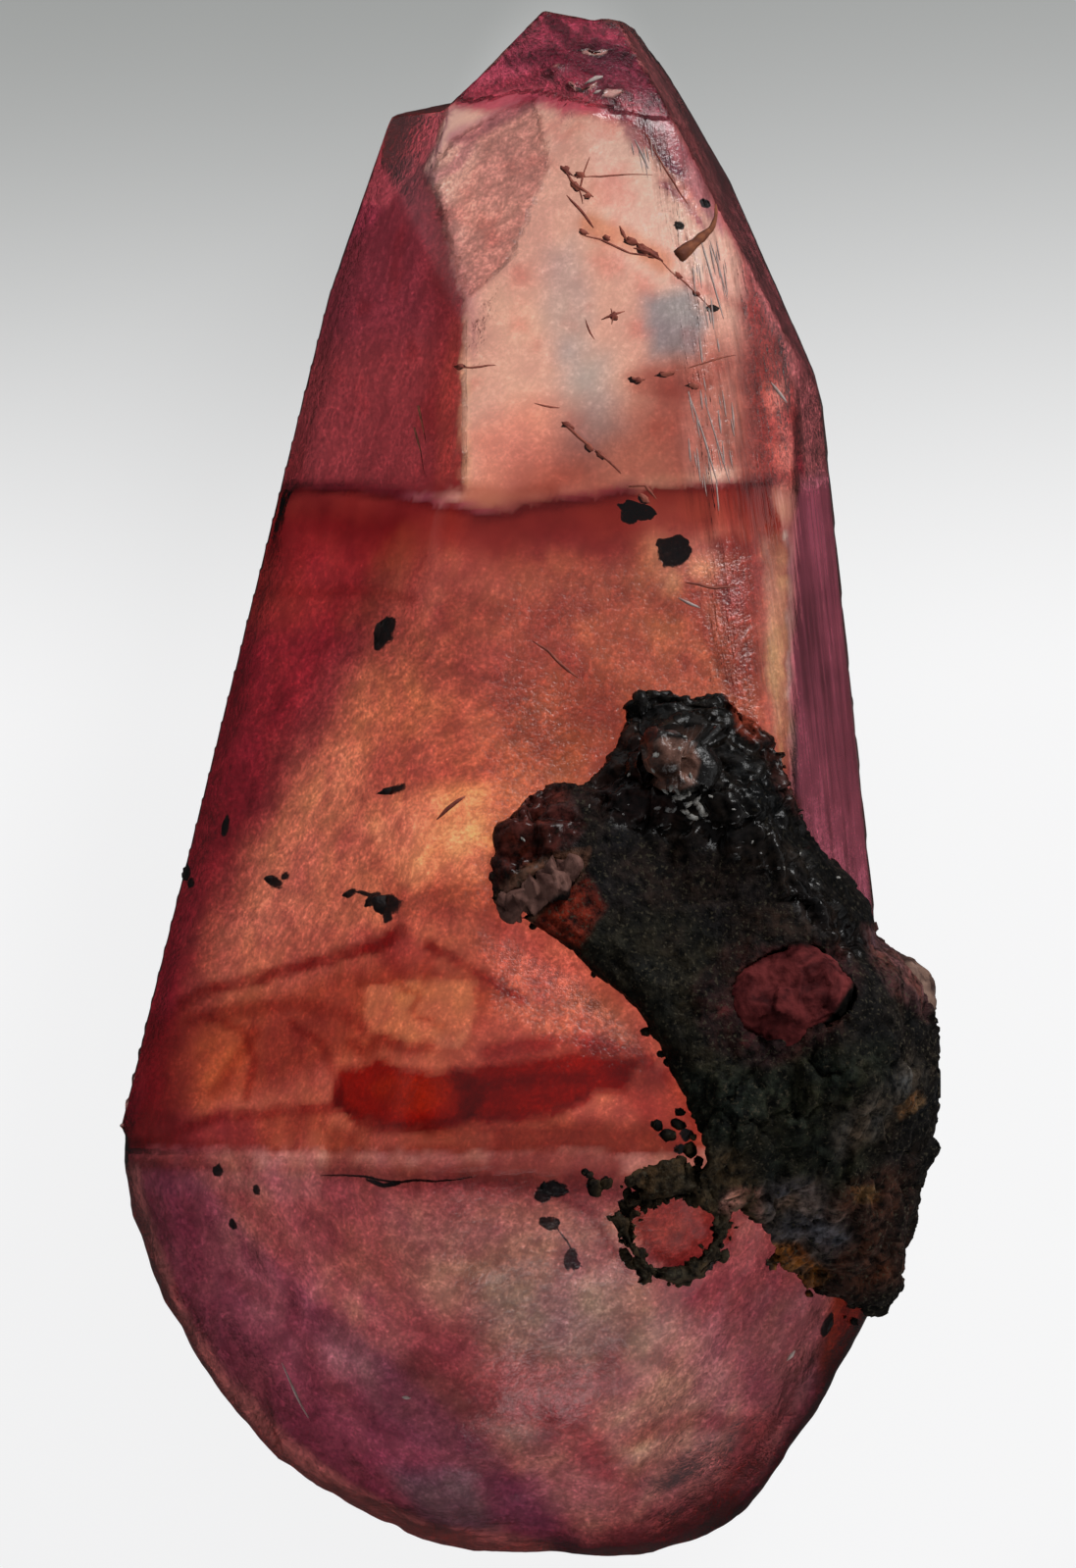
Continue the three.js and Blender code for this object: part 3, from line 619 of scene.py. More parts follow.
# Shares of light that get through the worn edges of the back, painted shade on the steepest sides,
# where the crystal refracts its dark surroundings, painted shade on the strip below the fracture
# line, which the fracture shades, and the blots above it
BACK_EDGE_SHARE = (0.5, 0.3, 0.34)
RIM_SHADE = (0.48, 0.28, 0.4)
FRACTURE_SHADE = (0.66, 0.3, 0.4)
BLOT_SHARE = (0.94, 0.73, 0.73)
# How much more red, green and blue light a pale cloud and a warm one let through
PALE_CLOUD = (0.8, 1.4, 1.0)
WARM_CLOUD = (0.03, 0.3, -0.06)
CRYSTAL_WANDER = 0.11  # how far the borders of the zones wander, in millimetres
STROKE_TURN = 52  # degrees, the way the etching runs on the body
STROKE_SQUEEZE = 0.5  # how much the body's strokes are squeezed along their way
# Where the strokes run another way: degrees, and how much they are squeezed
STROKE_TURNS = {
    "frosted_facet": (35, 0.5), "tip": (-58, 0.25), "left_flank": (74, 0.25), "lower_end": (46, 0.75),
}
LINE_TURN = 97  # degrees, the way the growth lines run
LINE_SQUEEZE = 0.03

# Where the ledge, pits and edges of the CAD model are smoothed, in pixels
LEDGE_CORNER = [350, 90, 530, 90, 530, 300, 440, 330, 350, 310]
PITTED_TIP = [552, 76, 578, 46, 612, 50, 646, 100, 600, 104, 560, 92]
STRIATED_EDGE = [640, 110, 680, 160, 706, 300, 738, 500]
# Where the tip is worn round: an outline, the blur and an amount
WORN_ZONES = {
    "tip": (ETCHED_ZONES["tip"][0], 0.1, 1),
    "tip_foot": ([640, 100, 730, 120, 745, 205, 700, 225, 650, 170], 0.1, 1),
}

# Facets as planes of the CAD model: azimuth, lean and a point of the plane, in degrees and
# millimetres. Some on the right side carry coarse growth grooves.
RIGHT_FACETS = {
    "striated": (50, 13.8, (1.95, 4.06, 4.07)),
    "right_front": (20, 5.1, (3.3, 1.3, 2.6)),
    "right_upper": (8, 26.9, (2.1, 6.15, 1.7)),
    "right_shoulder": (4, 15, (2.88, 4.52, 2.6)),
    "front": (80, 12.6, (0, -3.6, 6.15)),
    "tip_front": (84, 48, (0.63, 7.02, 3.63)),
    "tip_right": (5, 32, (1.3, 7.49, 1.5)),
}
GROOVED_FACETS = ("striated", "right_front", "right_upper")
# The two that meet at the upper left corner
CORNER_FACETS = [(118.3, 28.8, (-0.65, 4.72, 4.38)), (140, 10.9, (-4.25, -3.6, 2.6))]
GROOVE_DEPTH = 0.1
GROOVE_REACH = 0.3  # how near a grooved facet's plane the grooves are
GROOVES_END = -2.8  # no grooves are filled below this Y
PIT_DEPTH = 0.25
PITS_END = 1.5  # and no pits below this Z
GIRDLE = -3.7  # the Y of the widest part
# Which share of the way to its neighbours' middle a point moves in one round of wear: every point
# in the first rounds, and those of the worn tip and girdle in later ones
LIGHT_WEAR = 0.35
HEAVY_WEAR = 0.5
LIGHT_ROUNDS = 2
TIP_ROUNDS = 60
GIRDLE_ROUNDS = 140


def zone_share(places, outline, blur):
    return smooth_step(blur, -blur, outline_distance(places, on_photo(outline)))


def most_of(places, zones):
    """The largest amount that any of the zones gives each place."""
    amounts = np.zeros(len(places))
    for outline, blur, amount in zones.values():
        amounts = np.maximum(amounts, amount * zone_share(places, outline, blur))
    return amounts


def wandering(points, amount):
    """Places on the X and Y plane, moved about a little so that zone borders look natural."""
    coarse = np.stack([rough_noise(points, 0.9, 11), rough_noise(points, 0.9, 17)], 1)
    fine = np.stack([rough_noise(points, 0.2, 12, 3), rough_noise(points, 0.2, 18, 3)], 1)
    return points[:, :2] + amount * (coarse + 0.4 * fine)


def facet_normal(azimuth, lean):
    turn = math.radians(azimuth)
    rise = math.radians(lean)
    return np.array([math.cos(turn) * math.cos(rise), math.sin(rise), math.sin(turn) * math.cos(rise)])


def facet_height(facet, points):
    """Height of a facet's plane above each point's place."""
    normal = facet_normal(*facet[:2])
    start = np.array(facet[2])
    return start[2] - ((points[:, :2] - start[:2]) @ normal[:2]) / normal[2]


def dimmed(tint, amount, share):
    """A tint that lets a share of its light through, as far as the amount goes."""
    return tint * (1 + amount[:, None] * (np.array(share) - 1))


def crystal_tints(points, normals, places, front):
    """The colour of the surface at each point. All of it is laid on the front, so that its borders
    stay sharp: the back is clear, and the front's shares of light are squared to make up for it."""
    tint = np.ones((len(points), 3))
    for outline, blur, share in COLOUR_ZONES.values():
        tint = dimmed(tint, zone_share(places, outline, blur), share)
    steady = 0.6 * points[:, :2] + 0.4 * places
    patchy = 0.6 + 0.4 * smooth_step(-0.5, 0.3, rough_noise(points, 0.35, 19))
    for line, half_width, blur, share in STAIN_LINES:
        away = line_distance(steady, on_photo(line)) / PIXEL
        tint = dimmed(tint, smooth_step(half_width + blur, half_width, away) * patchy, share)
    # Painted shade in the strip below the fracture line, which the fracture shades
    reach = line_distance(places, on_photo(FRACTURE_LINE)) + 0.3 * rough_noise(points, 0.6, 21)
    below = zone_share(places, COLOUR_ZONES["body"][0], 0.03) * smooth_step(1.0, 0.25, reach)
    tint = dimmed(tint, below, FRACTURE_SHADE)
    above = smooth_step(2.4, 3.2, points[:, 1])
    tint = dimmed(tint, smooth_step(0.1, 0.5, rough_noise(points, 0.5, 71)) * above, BLOT_SHARE)
    # Painted shade on the steepest sides, where the crystal refracts its dark surroundings
    tint = dimmed(tint, smooth_step(0.62, 0.1, np.abs(normals[:, 2])), RIM_SHADE)
    lower = smooth_step(3.2, 2.6, points[:, 1])
    clouds = rough_noise(points, 1.6, 61) + 0.9 * rough_noise(points, 0.45, 67)
    blots = smooth_step(0.05, 0.5, rough_noise(points, 0.7, 69))
    blots = blots + 0.7 * smooth_step(0.1, 0.5, rough_noise(points, 0.25, 73))
    warmth = lower * (rough_noise(points, 0.9, 63) + 0.5 * rough_noise(points, 0.3, 65))
    pale = (0.16 + 0.3 * lower) * clouds - 0.3 * lower * blots
    tint *= np.exp(pale[:, None] * PALE_CLOUD + warmth[:, None] * WARM_CLOUD)
    for outline, blur, share in PAINTED_ZONES.values():
        amount = zone_share(places, outline, blur)[:, None]
        tint += amount * (np.array(share) * np.exp(0.3 * clouds[:, None]) - tint)
    facets = np.array([facet_normal(azimuth, lean) for azimuth, lean in BACK_FACETS])
    back = dimmed(1, smooth_step(0.996, 0.96, (normals @ facets.T).max(1)), BACK_EDGE_SHARE)
    return back + front[:, None] * (np.clip(tint, 0, 1) ** 2 - back)


def turned_lanes(points, degrees, squeeze):
    """Places measured across and along a direction on the X and Y plane, squeezed along it."""
    turn = math.radians(degrees)
    along = points[:, 0] * math.cos(turn) + points[:, 1] * math.sin(turn)
    across = points[:, 1] * math.cos(turn) - points[:, 0] * math.sin(turn)
    return np.stack([across, along * squeeze, points[:, 2] * 0.5], 1)


def stroke_lanes(points):
    """Where each point lies in the pattern of etching strokes, which turns from facet to facet."""
    bend = np.stack([noise(points, 2.2, 87), noise(points, 2.2, 88), np.zeros(len(points))], 1)
    lanes = turned_lanes(points + 0.3 * bend, STROKE_TURN, STROKE_SQUEEZE)
    for zone, (degrees, squeeze) in STROKE_TURNS.items():
        inside = outline_distance(points[:, :2], on_photo(ETCHED_ZONES[zone][0])) < 0
        lanes[inside] = turned_lanes(points[inside], degrees, squeeze)
    return lanes


def filled_grooves(points):
    """Points in the coarse grooves moved out to their facet. The material carries finer ones."""
    facets = RIGHT_FACETS.values()
    normals = np.array([facet_normal(azimuth, lean) for azimuth, lean, start in facets])
    starts = np.array([start for azimuth, lean, start in facets])
    outs = np.stack([(points - start) @ normal for start, normal in zip(starts, normals)], 1)
    nearest = outs.argmax(1)
    out = outs.max(1)
    grooved = outs[:, [name in GROOVED_FACETS for name in RIGHT_FACETS]].max(1) > -GROOVE_REACH
    grooved &= (out > -GROOVE_DEPTH) & (points[:, 1] > GROOVES_END)
    pitted = outline_distance(points[:, :2], on_photo(PITTED_TIP)) < 0
    pitted &= nearest == list(RIGHT_FACETS).index("tip_front")
    pitted &= (out > -PIT_DEPTH) & (points[:, 2] > PITS_END)
    shallow = (grooved | pitted) & (out < 0)
    return points - np.where(shallow, out, 0)[:, None] * normals[nearest]


def rounded_edges(mesh, points, normals):
    """The crystal's points with its edges worn round: a little everywhere, and most at the girdle."""
    front = smooth_step(0.2, 0.5, normals[:, 2])
    girdle = smooth_step(1.3, 0.4, np.abs(points[:, 1] - GIRDLE))
    middle = smooth_step(3.2, 2.4, points[:, 1]) * smooth_step(-2.6, -2.0, points[:, 0])
    ledge = zone_share(points[:, :2], LEDGE_CORNER, 0.05)
    lowest = np.min([points[:, 2], *(facet_height(facet, points) for facet in CORNER_FACETS)], 0)
    points = points + (ledge * (lowest - points[:, 2]))[:, None] * (0, 0, 1)
    seam = smooth_step(0.34, 0.2, line_distance(points[:, :2], on_photo(STRIATED_EDGE))) * front
    points = relax(mesh, points, np.full(len(points), LIGHT_WEAR), LIGHT_ROUNDS)
    worn = np.maximum(most_of(points[:, :2], WORN_ZONES) * front, seam)
    points = relax(mesh, points, HEAVY_WEAR * worn, TIP_ROUNDS)
    return relax(mesh, points, HEAVY_WEAR * np.maximum(girdle, middle) * front, GIRDLE_ROUNDS)


def crystal_relief(points):
    """Height of the fine relief above the plain faces, in millimetres."""
    height = 0.004 * rough_noise(points, 0.5, 23)
    worn = smooth_step(-3.3, -4.4, points[:, 1])
    height += worn * (0.03 * rough_noise(points, 0.45, 29) - 0.03 * np.abs(noise(points, 0.9, 31)))
    tip = zone_share(points[:, :2], *ETCHED_ZONES["tip"][:2])
    return height + tip * (0.04 * grains(points * (1, 0.6, 1), 0.16, 35)[0] - 0.02)


RUBY_IOR = 1.77
RUBY_ABSORPTION = colour(0.97, 0.46, 0.34)
RUBY_DENSITY = 160.0
RUBY_BASE = colour(1.0, 0.85, 0.76)


def ruby_material():
    material, look = material_look("ruby")
    tint = look.attribute("tint", "Color")
    etched = look.attribute("etched")
    lined = look.attribute("lined")
    strokes = look.noise(look.attribute("strokes", "Vector"), 8.0, 4, 0.72, 0.3)
    lines = look.noise(look.attribute("lines", "Vector"), 9.0, 3, 0.75)
    speckle = look.noise(look.place(), 14.0, 3, 0.8)
    fine = look.noise(look.place(), 24.0, 2, 0.6)
    stroke_shade = look.remap(strokes, (0.32, 0.68), (0.25, 2.0))
    speckle_shade = look.remap(speckle, (0.3, 0.7), (0.35, 1.8))
    fine_shade = look.remap(fine, (0.36, 0.6), (0.5, 1.25))
    # Painted glints: sparks are tiny bright spots in the colour of the etched surface
    sparks = look.remap(fine, (0.62, 0.72), (0.0, 1.4))
    shade = look.calc("MULTIPLY", stroke_shade, speckle_shade)
    shade = look.calc("MULTIPLY", shade, look.calc("ADD", fine_shade, sparks))
    etching = look.mix(etched, WHITE, shade)
    lining = look.mix(lined, WHITE, look.remap(lines, (0.33, 0.67), (0.35, 1.7)))
    height = look.calc("MULTIPLY", look.calc("ADD", strokes, speckle), etched)
    height = look.calc("ADD", height, look.calc("MULTIPLY", lines, lined))
    look.shade(
        Base_Color=look.times(look.times(look.times(tint, etching), lining), RUBY_BASE),
        Roughness=look.remap(etched, (0.0, 1.0), (0.04, 0.3)),
        Normal=look.bump(height, 0.6, 0.03),
        Transmission_Weight=look.calc("SUBTRACT", 1.0, look.attribute("milk")),
        IOR=RUBY_IOR,
    )
    absorb = look.node("VolumeAbsorption", Color=RUBY_ABSORPTION, Density=RUBY_DENSITY)
    look.put(look.tree.nodes["Material Output"].inputs["Volume"], absorb.outputs[0])
    return material


def ruby_crystal():
    mesh = even_mesh("ruby_crystal", CRYSTAL_VOXEL)
    normals = normals_of(mesh)
    points = rounded_edges(mesh, filled_grooves(points_of(mesh)), normals)
    points = points + normals * crystal_relief(points)[:, None]
    places = wandering(points, CRYSTAL_WANDER)
    front = smooth_step(-0.1, 0.1, normals[:, 2])
    clouded = 1 - GLASSY_SHARE * zone_share(places, GLASSY_BELT, 0.3)
    set_points(mesh, points)
    set_tint(mesh, crystal_tints(points, normals, places, front))
    set_layer(mesh, "etched", front * most_of(places, ETCHED_ZONES) * clouded)
    set_layer(mesh, "milk", LEAST_MILK + front * most_of(places, MILKY_ZONES))
    set_layer(mesh, "lined", front * most_of(places, LINED_ZONES))
    set_layer(mesh, "strokes", stroke_lanes(points))
    set_layer(mesh, "lines", turned_lanes(points, LINE_TURN, LINE_SQUEEZE))
    finish_piece("ruby_body", mesh, ruby_material(), ["ruby_crystal"])
    return solid_of(mesh, points)


# What the crystal holds and carries. Each kind is one mesh of many small bodies.

RAY_START = 20.0  # millimetres above the floor
THREAD_SIDES = 6
CRUMB_APART = 3.7  # so that no two crumbs are cut from the same pattern


class Heap:
    """Points and faces of many small bodies that become one mesh."""

    def __init__(self):
        self.points = []
        self.faces = []
        self.count = 0

    def add(self, points, faces):
        self.points.append(points)
        self.faces += [tuple(i + self.count for i in face) for face in faces]
        self.count += len(points)

    def mesh(self, name):
        made = bpy.data.meshes.new(name)
        made.from_pydata(np.concatenate(self.points).tolist(), [], self.faces)
        return made


def ball_shape(detail):
    """Points and faces of a unit ball."""
    shaped = bmesh.new()
    bmesh.ops.create_icosphere(shaped, subdivisions=detail, radius=1)
    points = np.array([v.co for v in shaped.verts])
    faces = [tuple(v.index for v in face.verts) for face in shaped.faces]
    shaped.free()
    return points, faces


BALL = ball_shape(3)
SMALL_BALL = ball_shape(2)


def add_crumb(heap, centre, size, degrees, seed, shape, ragged):
    """Adds a broken, angular crumb with the given half sizes, turned about Z."""
    points, faces = shape
    tilted = grains(points + seed * CRUMB_APART, 0.9, seed)[0]
    rough = 1 + ragged * tilted + 0.5 * ragged * noise(points, 0.7, seed)
    turn = math.radians(degrees)
    spin = [[math.cos(turn), math.sin(turn), 0], [-math.sin(turn), math.cos(turn), 0], [0, 0, 1]]
    heap.add(points * rough[:, None] * size @ spin + centre, faces)


def add_thread(heap, line, radius, blunt=False):
    """Adds a thin, uneven body along a line of points, tapered to both ends, or to the last one."""
    steps = len(line)
    if steps < 3:
        return
    along = np.gradient(line, axis=0)
    along /= np.linalg.norm(along, axis=1)[:, None]
    across = np.cross(along, (0.1, 0.2, 1))
    across /= np.linalg.norm(across, axis=1)[:, None]
    upright = np.cross(across, along)
    if blunt:
        taper = 1.1 - np.linspace(0, 1, steps)
    else:
        taper = np.sin(np.linspace(0.05, math.pi - 0.05, steps)) ** 0.6
    widths = radius * (0.15 + 0.85 * taper) * (1 + 0.55 * rough_noise(line, 0.12, 97, 2))
    sides = range(THREAD_SIDES)
    turns = [2 * math.pi * corner / THREAD_SIDES for corner in sides]
    rim = [line + widths[:, None] * (math.cos(t) * across + math.sin(t) * upright) for t in turns]
    faces = []
    for start in range(0, (steps - 1) * THREAD_SIDES, THREAD_SIDES):
        for side in sides:
            ends = start + side, start + (side + 1) % THREAD_SIDES
            faces.append((*ends, ends[1] + THREAD_SIDES, ends[0] + THREAD_SIDES))
    faces += [tuple(sides)[::-1], tuple((steps - 1) * THREAD_SIDES + side for side in sides)]
    heap.add(np.stack(rim, 1).reshape(-1, 3), faces)


def under_surface(solid, pixels, depth):
    """Points a little below a solid's front, at those of the photograph's pixels that it covers."""
    down = Vector((0, 0, -1))
    hits = [solid.ray_cast(Vector((x, y, RAY_START)), down)[0] for x, y in on_photo(pixels)]
    found = [(x, y, hit.z - depth) for (x, y), hit in zip(on_photo(pixels), hits) if hit]
    return np.array(found)


def mottled_material(name, light, dark, rough, gloss, mottling, surface, relief, bordered=False):
    """A mottled mineral between two colours, with a fine broken surface. The mottling and the
    surface are noises. A bordered one takes the rock's colour outside its border."""
    material, look = material_look(name)
    inside = look.attribute("inside") if bordered else None
    mottle = look.noise(look.place(), *mottling)
    base = look.mix(look.remap(mottle, (0.35, 0.65)), dark, light)
    if bordered:
        base = look.mix(inside, colour(*ROCK_COLOUR), base)
    look.shade(
        Base_Color=base,
        Roughness=look.remap(mottle, (0.3, 0.7), (rough, rough + 0.25)),
        Normal=look.bump(look.noise(look.place(), *surface), 0.6, relief),
        Specular_IOR_Level=gloss,
    )
    return material


def plain_material(name, light, dark, scale, rough, gloss=0.5):
    mottling = (scale, 5, 0.6, 0.4)
    surface = (scale * 5, 4, 0.7)
    return mottled_material(name, light, dark, rough, gloss, mottling, surface, 0.02)


# Dark grains near the front: the pixel of their middle, their half width and half height in pixels,
# and how many degrees they are turned
DARK_GRAINS = [
    (397, 648, 13, 17, 20), (403, 640, 7, 9, 0), (648, 525, 18, 9, 15), (640, 531, 9, 8, 0),
    (685, 566, 17, 15, -30), (676, 560, 9, 8, 0), (406, 806, 18, 4, -8), (285, 899, 12, 6, 25),
    (296, 893, 6, 4, 0), (401, 922, 19, 10, 5), (385, 916, 12, 6, -20), (362, 910, 9, 4, -10),
    (400, 934, 7, 6, 0), (195, 890, 7, 8, 0), (200, 900, 5, 5, 0), (235, 842, 5, 11, 10),
    (228, 1190, 7, 6, 0), (267, 1208, 6, 5, 0), (243, 1243, 6, 6, 0), (838, 1345, 8, 12, 15),
    (563, 1206, 15, 8, 0), (553, 1212, 8, 7, 0), (560, 1240, 11, 6, 10), (580, 1275, 6, 11, 20),
    (585, 1282, 5, 5, 0), (697, 1152, 7, 6, 0), (690, 1166, 6, 5, 0), (708, 1178, 5, 6, 0),
    (723, 320, 7, 4, 0), (715, 214, 6, 5, 0), (690, 236, 5, 4, 0),
]
# Red-brown ones on the red threads, in the same way
RED_GRAINS = [
    (641, 251, 7, 4, 10), (655, 260, 8, 5, 20), (665, 265, 5, 4, 0), (586, 196, 6, 4, 60),
    (598, 206, 4, 3, 0), (594, 242, 5, 3, 30), (577, 180, 6, 3, 50), (625, 328, 4, 4, 0),
    (590, 184, 5, 3, 0), (617, 248, 4, 3, 15), (600, 460, 5, 4, 40), (612, 468, 6, 3, 40),
    (578, 438, 6, 3, 20), (690, 286, 4, 3, 40), (708, 304, 4, 3, 40), (648, 392, 8, 4, 0),
    (676, 386, 9, 3, -10), (704, 398, 7, 3, 10), (655, 512, 7, 4, 40), (470, 379, 5, 3, 0),
]
# A scratch and painted glints on the surface: lines of pixels, and the half width in pixels
SCRATCH_AND_GLINTS = [
    ([290, 1384, 298, 1402, 308, 1424, 317, 1440], 1.1), ([412, 1417, 420, 1418], 2.2),
    ([800, 1382, 808, 1372], 2.4), ([596, 92, 606, 86, 614, 84], 2.6), ([604, 102, 612, 98], 2.0),
    ([232, 616, 236, 626], 1.2), ([690, 612, 702, 618, 712, 622], 1.6),
    ([646, 148, 654, 164, 660, 178], 1.4), ([712, 246, 724, 288, 736, 330], 1.0),
    ([722, 250, 732, 280, 740, 310], 0.8), ([700, 404, 716, 450, 730, 498], 1.1),
    ([716, 410, 728, 450, 742, 496], 0.9), ([784, 394, 792, 404, 800, 414], 1.8),
]
# A wedge of rust and two orange streaks of painted highlight on the left flank; dark threads and
# red ones, in the same way
WEDGE_AND_HIGHLIGHTS = [
    ([428, 418, 432, 436, 436, 456], 1.6), ([424, 440, 430, 462, 434, 486], 1.4),
    ([690, 267, 697, 261, 708, 252, 724, 238, 728, 226, 728, 214], 6.5),
]
DARK_THREADS = [
    ([332, 1193, 370, 1194, 410, 1199, 450, 1197, 482, 1193], 1.3),
    ([378, 1197, 395, 1202, 412, 1200], 3.0), ([366, 908, 378, 911, 392, 917], 3.0),
    ([565, 1242, 580, 1262, 592, 1284], 1.0),
]
RED_THREADS = [
    ([446, 835, 458, 823, 476, 812], 2.2), ([543, 655, 562, 668, 590, 694], 1.6),
    ([578, 205, 592, 222, 604, 238], 1.6), ([574, 177, 588, 188, 604, 186, 640, 183, 664, 185], 0.8),
    ([601, 166, 595, 184, 590, 200, 594, 214], 1.0), ([574, 178, 582, 190, 592, 198, 604, 208], 1.8),
    ([592, 244, 612, 250, 640, 262, 668, 268], 1.3), ([645, 258, 660, 262, 676, 272], 2.0),
    ([630, 236, 634, 244, 638, 250], 2.2), ([574, 436, 590, 448, 602, 460], 1.8),
    ([606, 462, 620, 474, 632, 486], 1.8), ([612, 330, 624, 326, 636, 322], 1.4),
    ([621, 319, 625, 328, 624, 336], 1.2), ([466, 378, 486, 379, 506, 377], 1.2),
    ([697, 596, 722, 602, 748, 600], 1.6), ([640, 500, 656, 498, 668, 512], 1.6),
    ([596, 330, 600, 342, 606, 352], 1.0), ([545, 416, 556, 418, 570, 420], 1.2),
    ([668, 267, 696, 292, 724, 320], 0.8), ([700, 380, 724, 372, 748, 366], 1.0),
    ([655, 140, 676, 176, 700, 214], 1.0),
]
# Fields of short growth lines, drawn as pale painted highlights: two corners in pixels and how many
STREAK_FIELDS = [((700, 380), (744, 500), 26), ((704, 220), (740, 350), 18), ((642, 136), (670, 190), 8)]
STREAK_SEED = 21
STREAK_LENGTH = (10, 34)
STREAK_LEAN = (0.08, 0.2)  # pixels across for each pixel down
STREAK_HALF_WIDTH = (0.5, 1.1)


def streak_glints():
    """The lines of the streak fields, as those of the scratch and glints: painted highlights."""
    chance = np.random.default_rng(STREAK_SEED)
    lines = []
    for low, high, count in STREAK_FIELDS:
        for _ in range(count):
            x, y = chance.uniform(low, high)
            length = chance.uniform(*STREAK_LENGTH)
            lean = chance.uniform(*STREAK_LEAN)
            spots = [(x + lean * part, y + part) for part in (0, length / 2, length)]
            lines.append((spots, chance.uniform(*STREAK_HALF_WIDTH)))
    return lines


def smooth_line(line, spacing):
    """A line's points, joined smoothly and spaced evenly."""
    line = np.reshape(line, (-1, 2)).astype(float)
    reach = np.concatenate([[0], np.cumsum(np.linalg.norm(np.diff(line, axis=0), axis=1))])
    steps = max(int(reach[-1] / spacing), 3)
    even = np.linspace(0, reach[-1], steps)
    return np.stack([np.interp(even, reach, line[:, axis]) for axis in range(2)], 1)


def thread_heap(solid, threads, depth, spacing=4, blunt=False, wander=0.0, seed=0):
    """Threads at a depth below the surface. Wandering ones stray by some pixels from their line."""
    heap = Heap()
    for number, (line, half_width) in enumerate(threads):
        pixels = smooth_line(line, spacing)
        if wander:
            flat = np.column_stack([pixels, np.full(len(pixels), number * 9.0)])
            pixels = pixels + np.stack([noise(flat, 22, seed), noise(flat, 22, seed + 1)], 1) * wander
        add_thread(heap, under_surface(solid, pixels, depth), half_width * PIXEL, blunt)
    return heap


def add_grains(heap, solid, spots, thickness, depth, sunk, seed, shape, ragged):
    """Adds grains whose middle lies below the surface by the depth and a share of their thickness."""
    for number, (x, y, width, height, turn) in enumerate(spots):
        half = np.array([width, height, thickness * min(width, height)]) * PIXEL
        centre = under_surface(solid, [x, y], depth + sunk * half[2])[0]
        add_crumb(heap, centre, half, -turn, number + seed, shape, ragged)


def crystal_contents(solid):
    # The pale material is for a scratch and for painted glints and highlight streaks
    pale = plain_material("glint_and_scratch", colour(1.0, 0.82, 0.76), colour(0.9, 0.6, 0.54), 6, 0.3, 0.3)
    # This rust colour is for the wedge and for two painted highlight streaks
    rust_and_highlights = plain_material("rust_stain_and_highlight", colour(0.6, 0.2, 0.09), colour(0.3, 0.08, 0.04), 8, 0.5)
    dark = plain_material(
        "dark_inclusion", colour(0.035, 0.016, 0.014), colour(0.008, 0.005, 0.006), 6, 0.3
    )
    brown = plain_material("red_needle", colour(0.75, 0.2, 0.13), colour(0.4, 0.08, 0.055), 6, 0.4)
    dark_grains = Heap()
    add_grains(
        dark_grains, solid, DARK_GRAINS, thickness=0.7, depth=0.06, sunk=1, seed=5, shape=BALL, ragged=0.35
    )
    needles = thread_heap(solid, RED_THREADS, -0.003, 6, wander=1.6, seed=83)
    add_grains(
        needles, solid, RED_GRAINS, thickness=0.3, depth=0, sunk=0, seed=400, shape=SMALL_BALL, ragged=0.8
    )
    kinds = {
        # Painted glints and highlight streaks, and a scratch
        "scratch_and_glints": (thread_heap(solid, SCRATCH_AND_GLINTS + streak_glints(), -0.004), pale),
        # A wedge of rust and two painted highlight streaks
        "brown_wedge_and_highlights": (thread_heap(solid, WEDGE_AND_HIGHLIGHTS, 0.01, blunt=True), rust_and_highlights),
        "dark_grains": (dark_grains, dark),
        "dark_threads": (thread_heap(solid, DARK_THREADS, 0.07, 6, wander=1.6, seed=81), dark),
        "red_needles": (needles, brown),
    }
    for name, (heap, material) in kinds.items():
        finish_piece(name, heap.mesh(name), material)


# The rock

ROCK_COLOUR = (0.01, 0.008, 0.007)
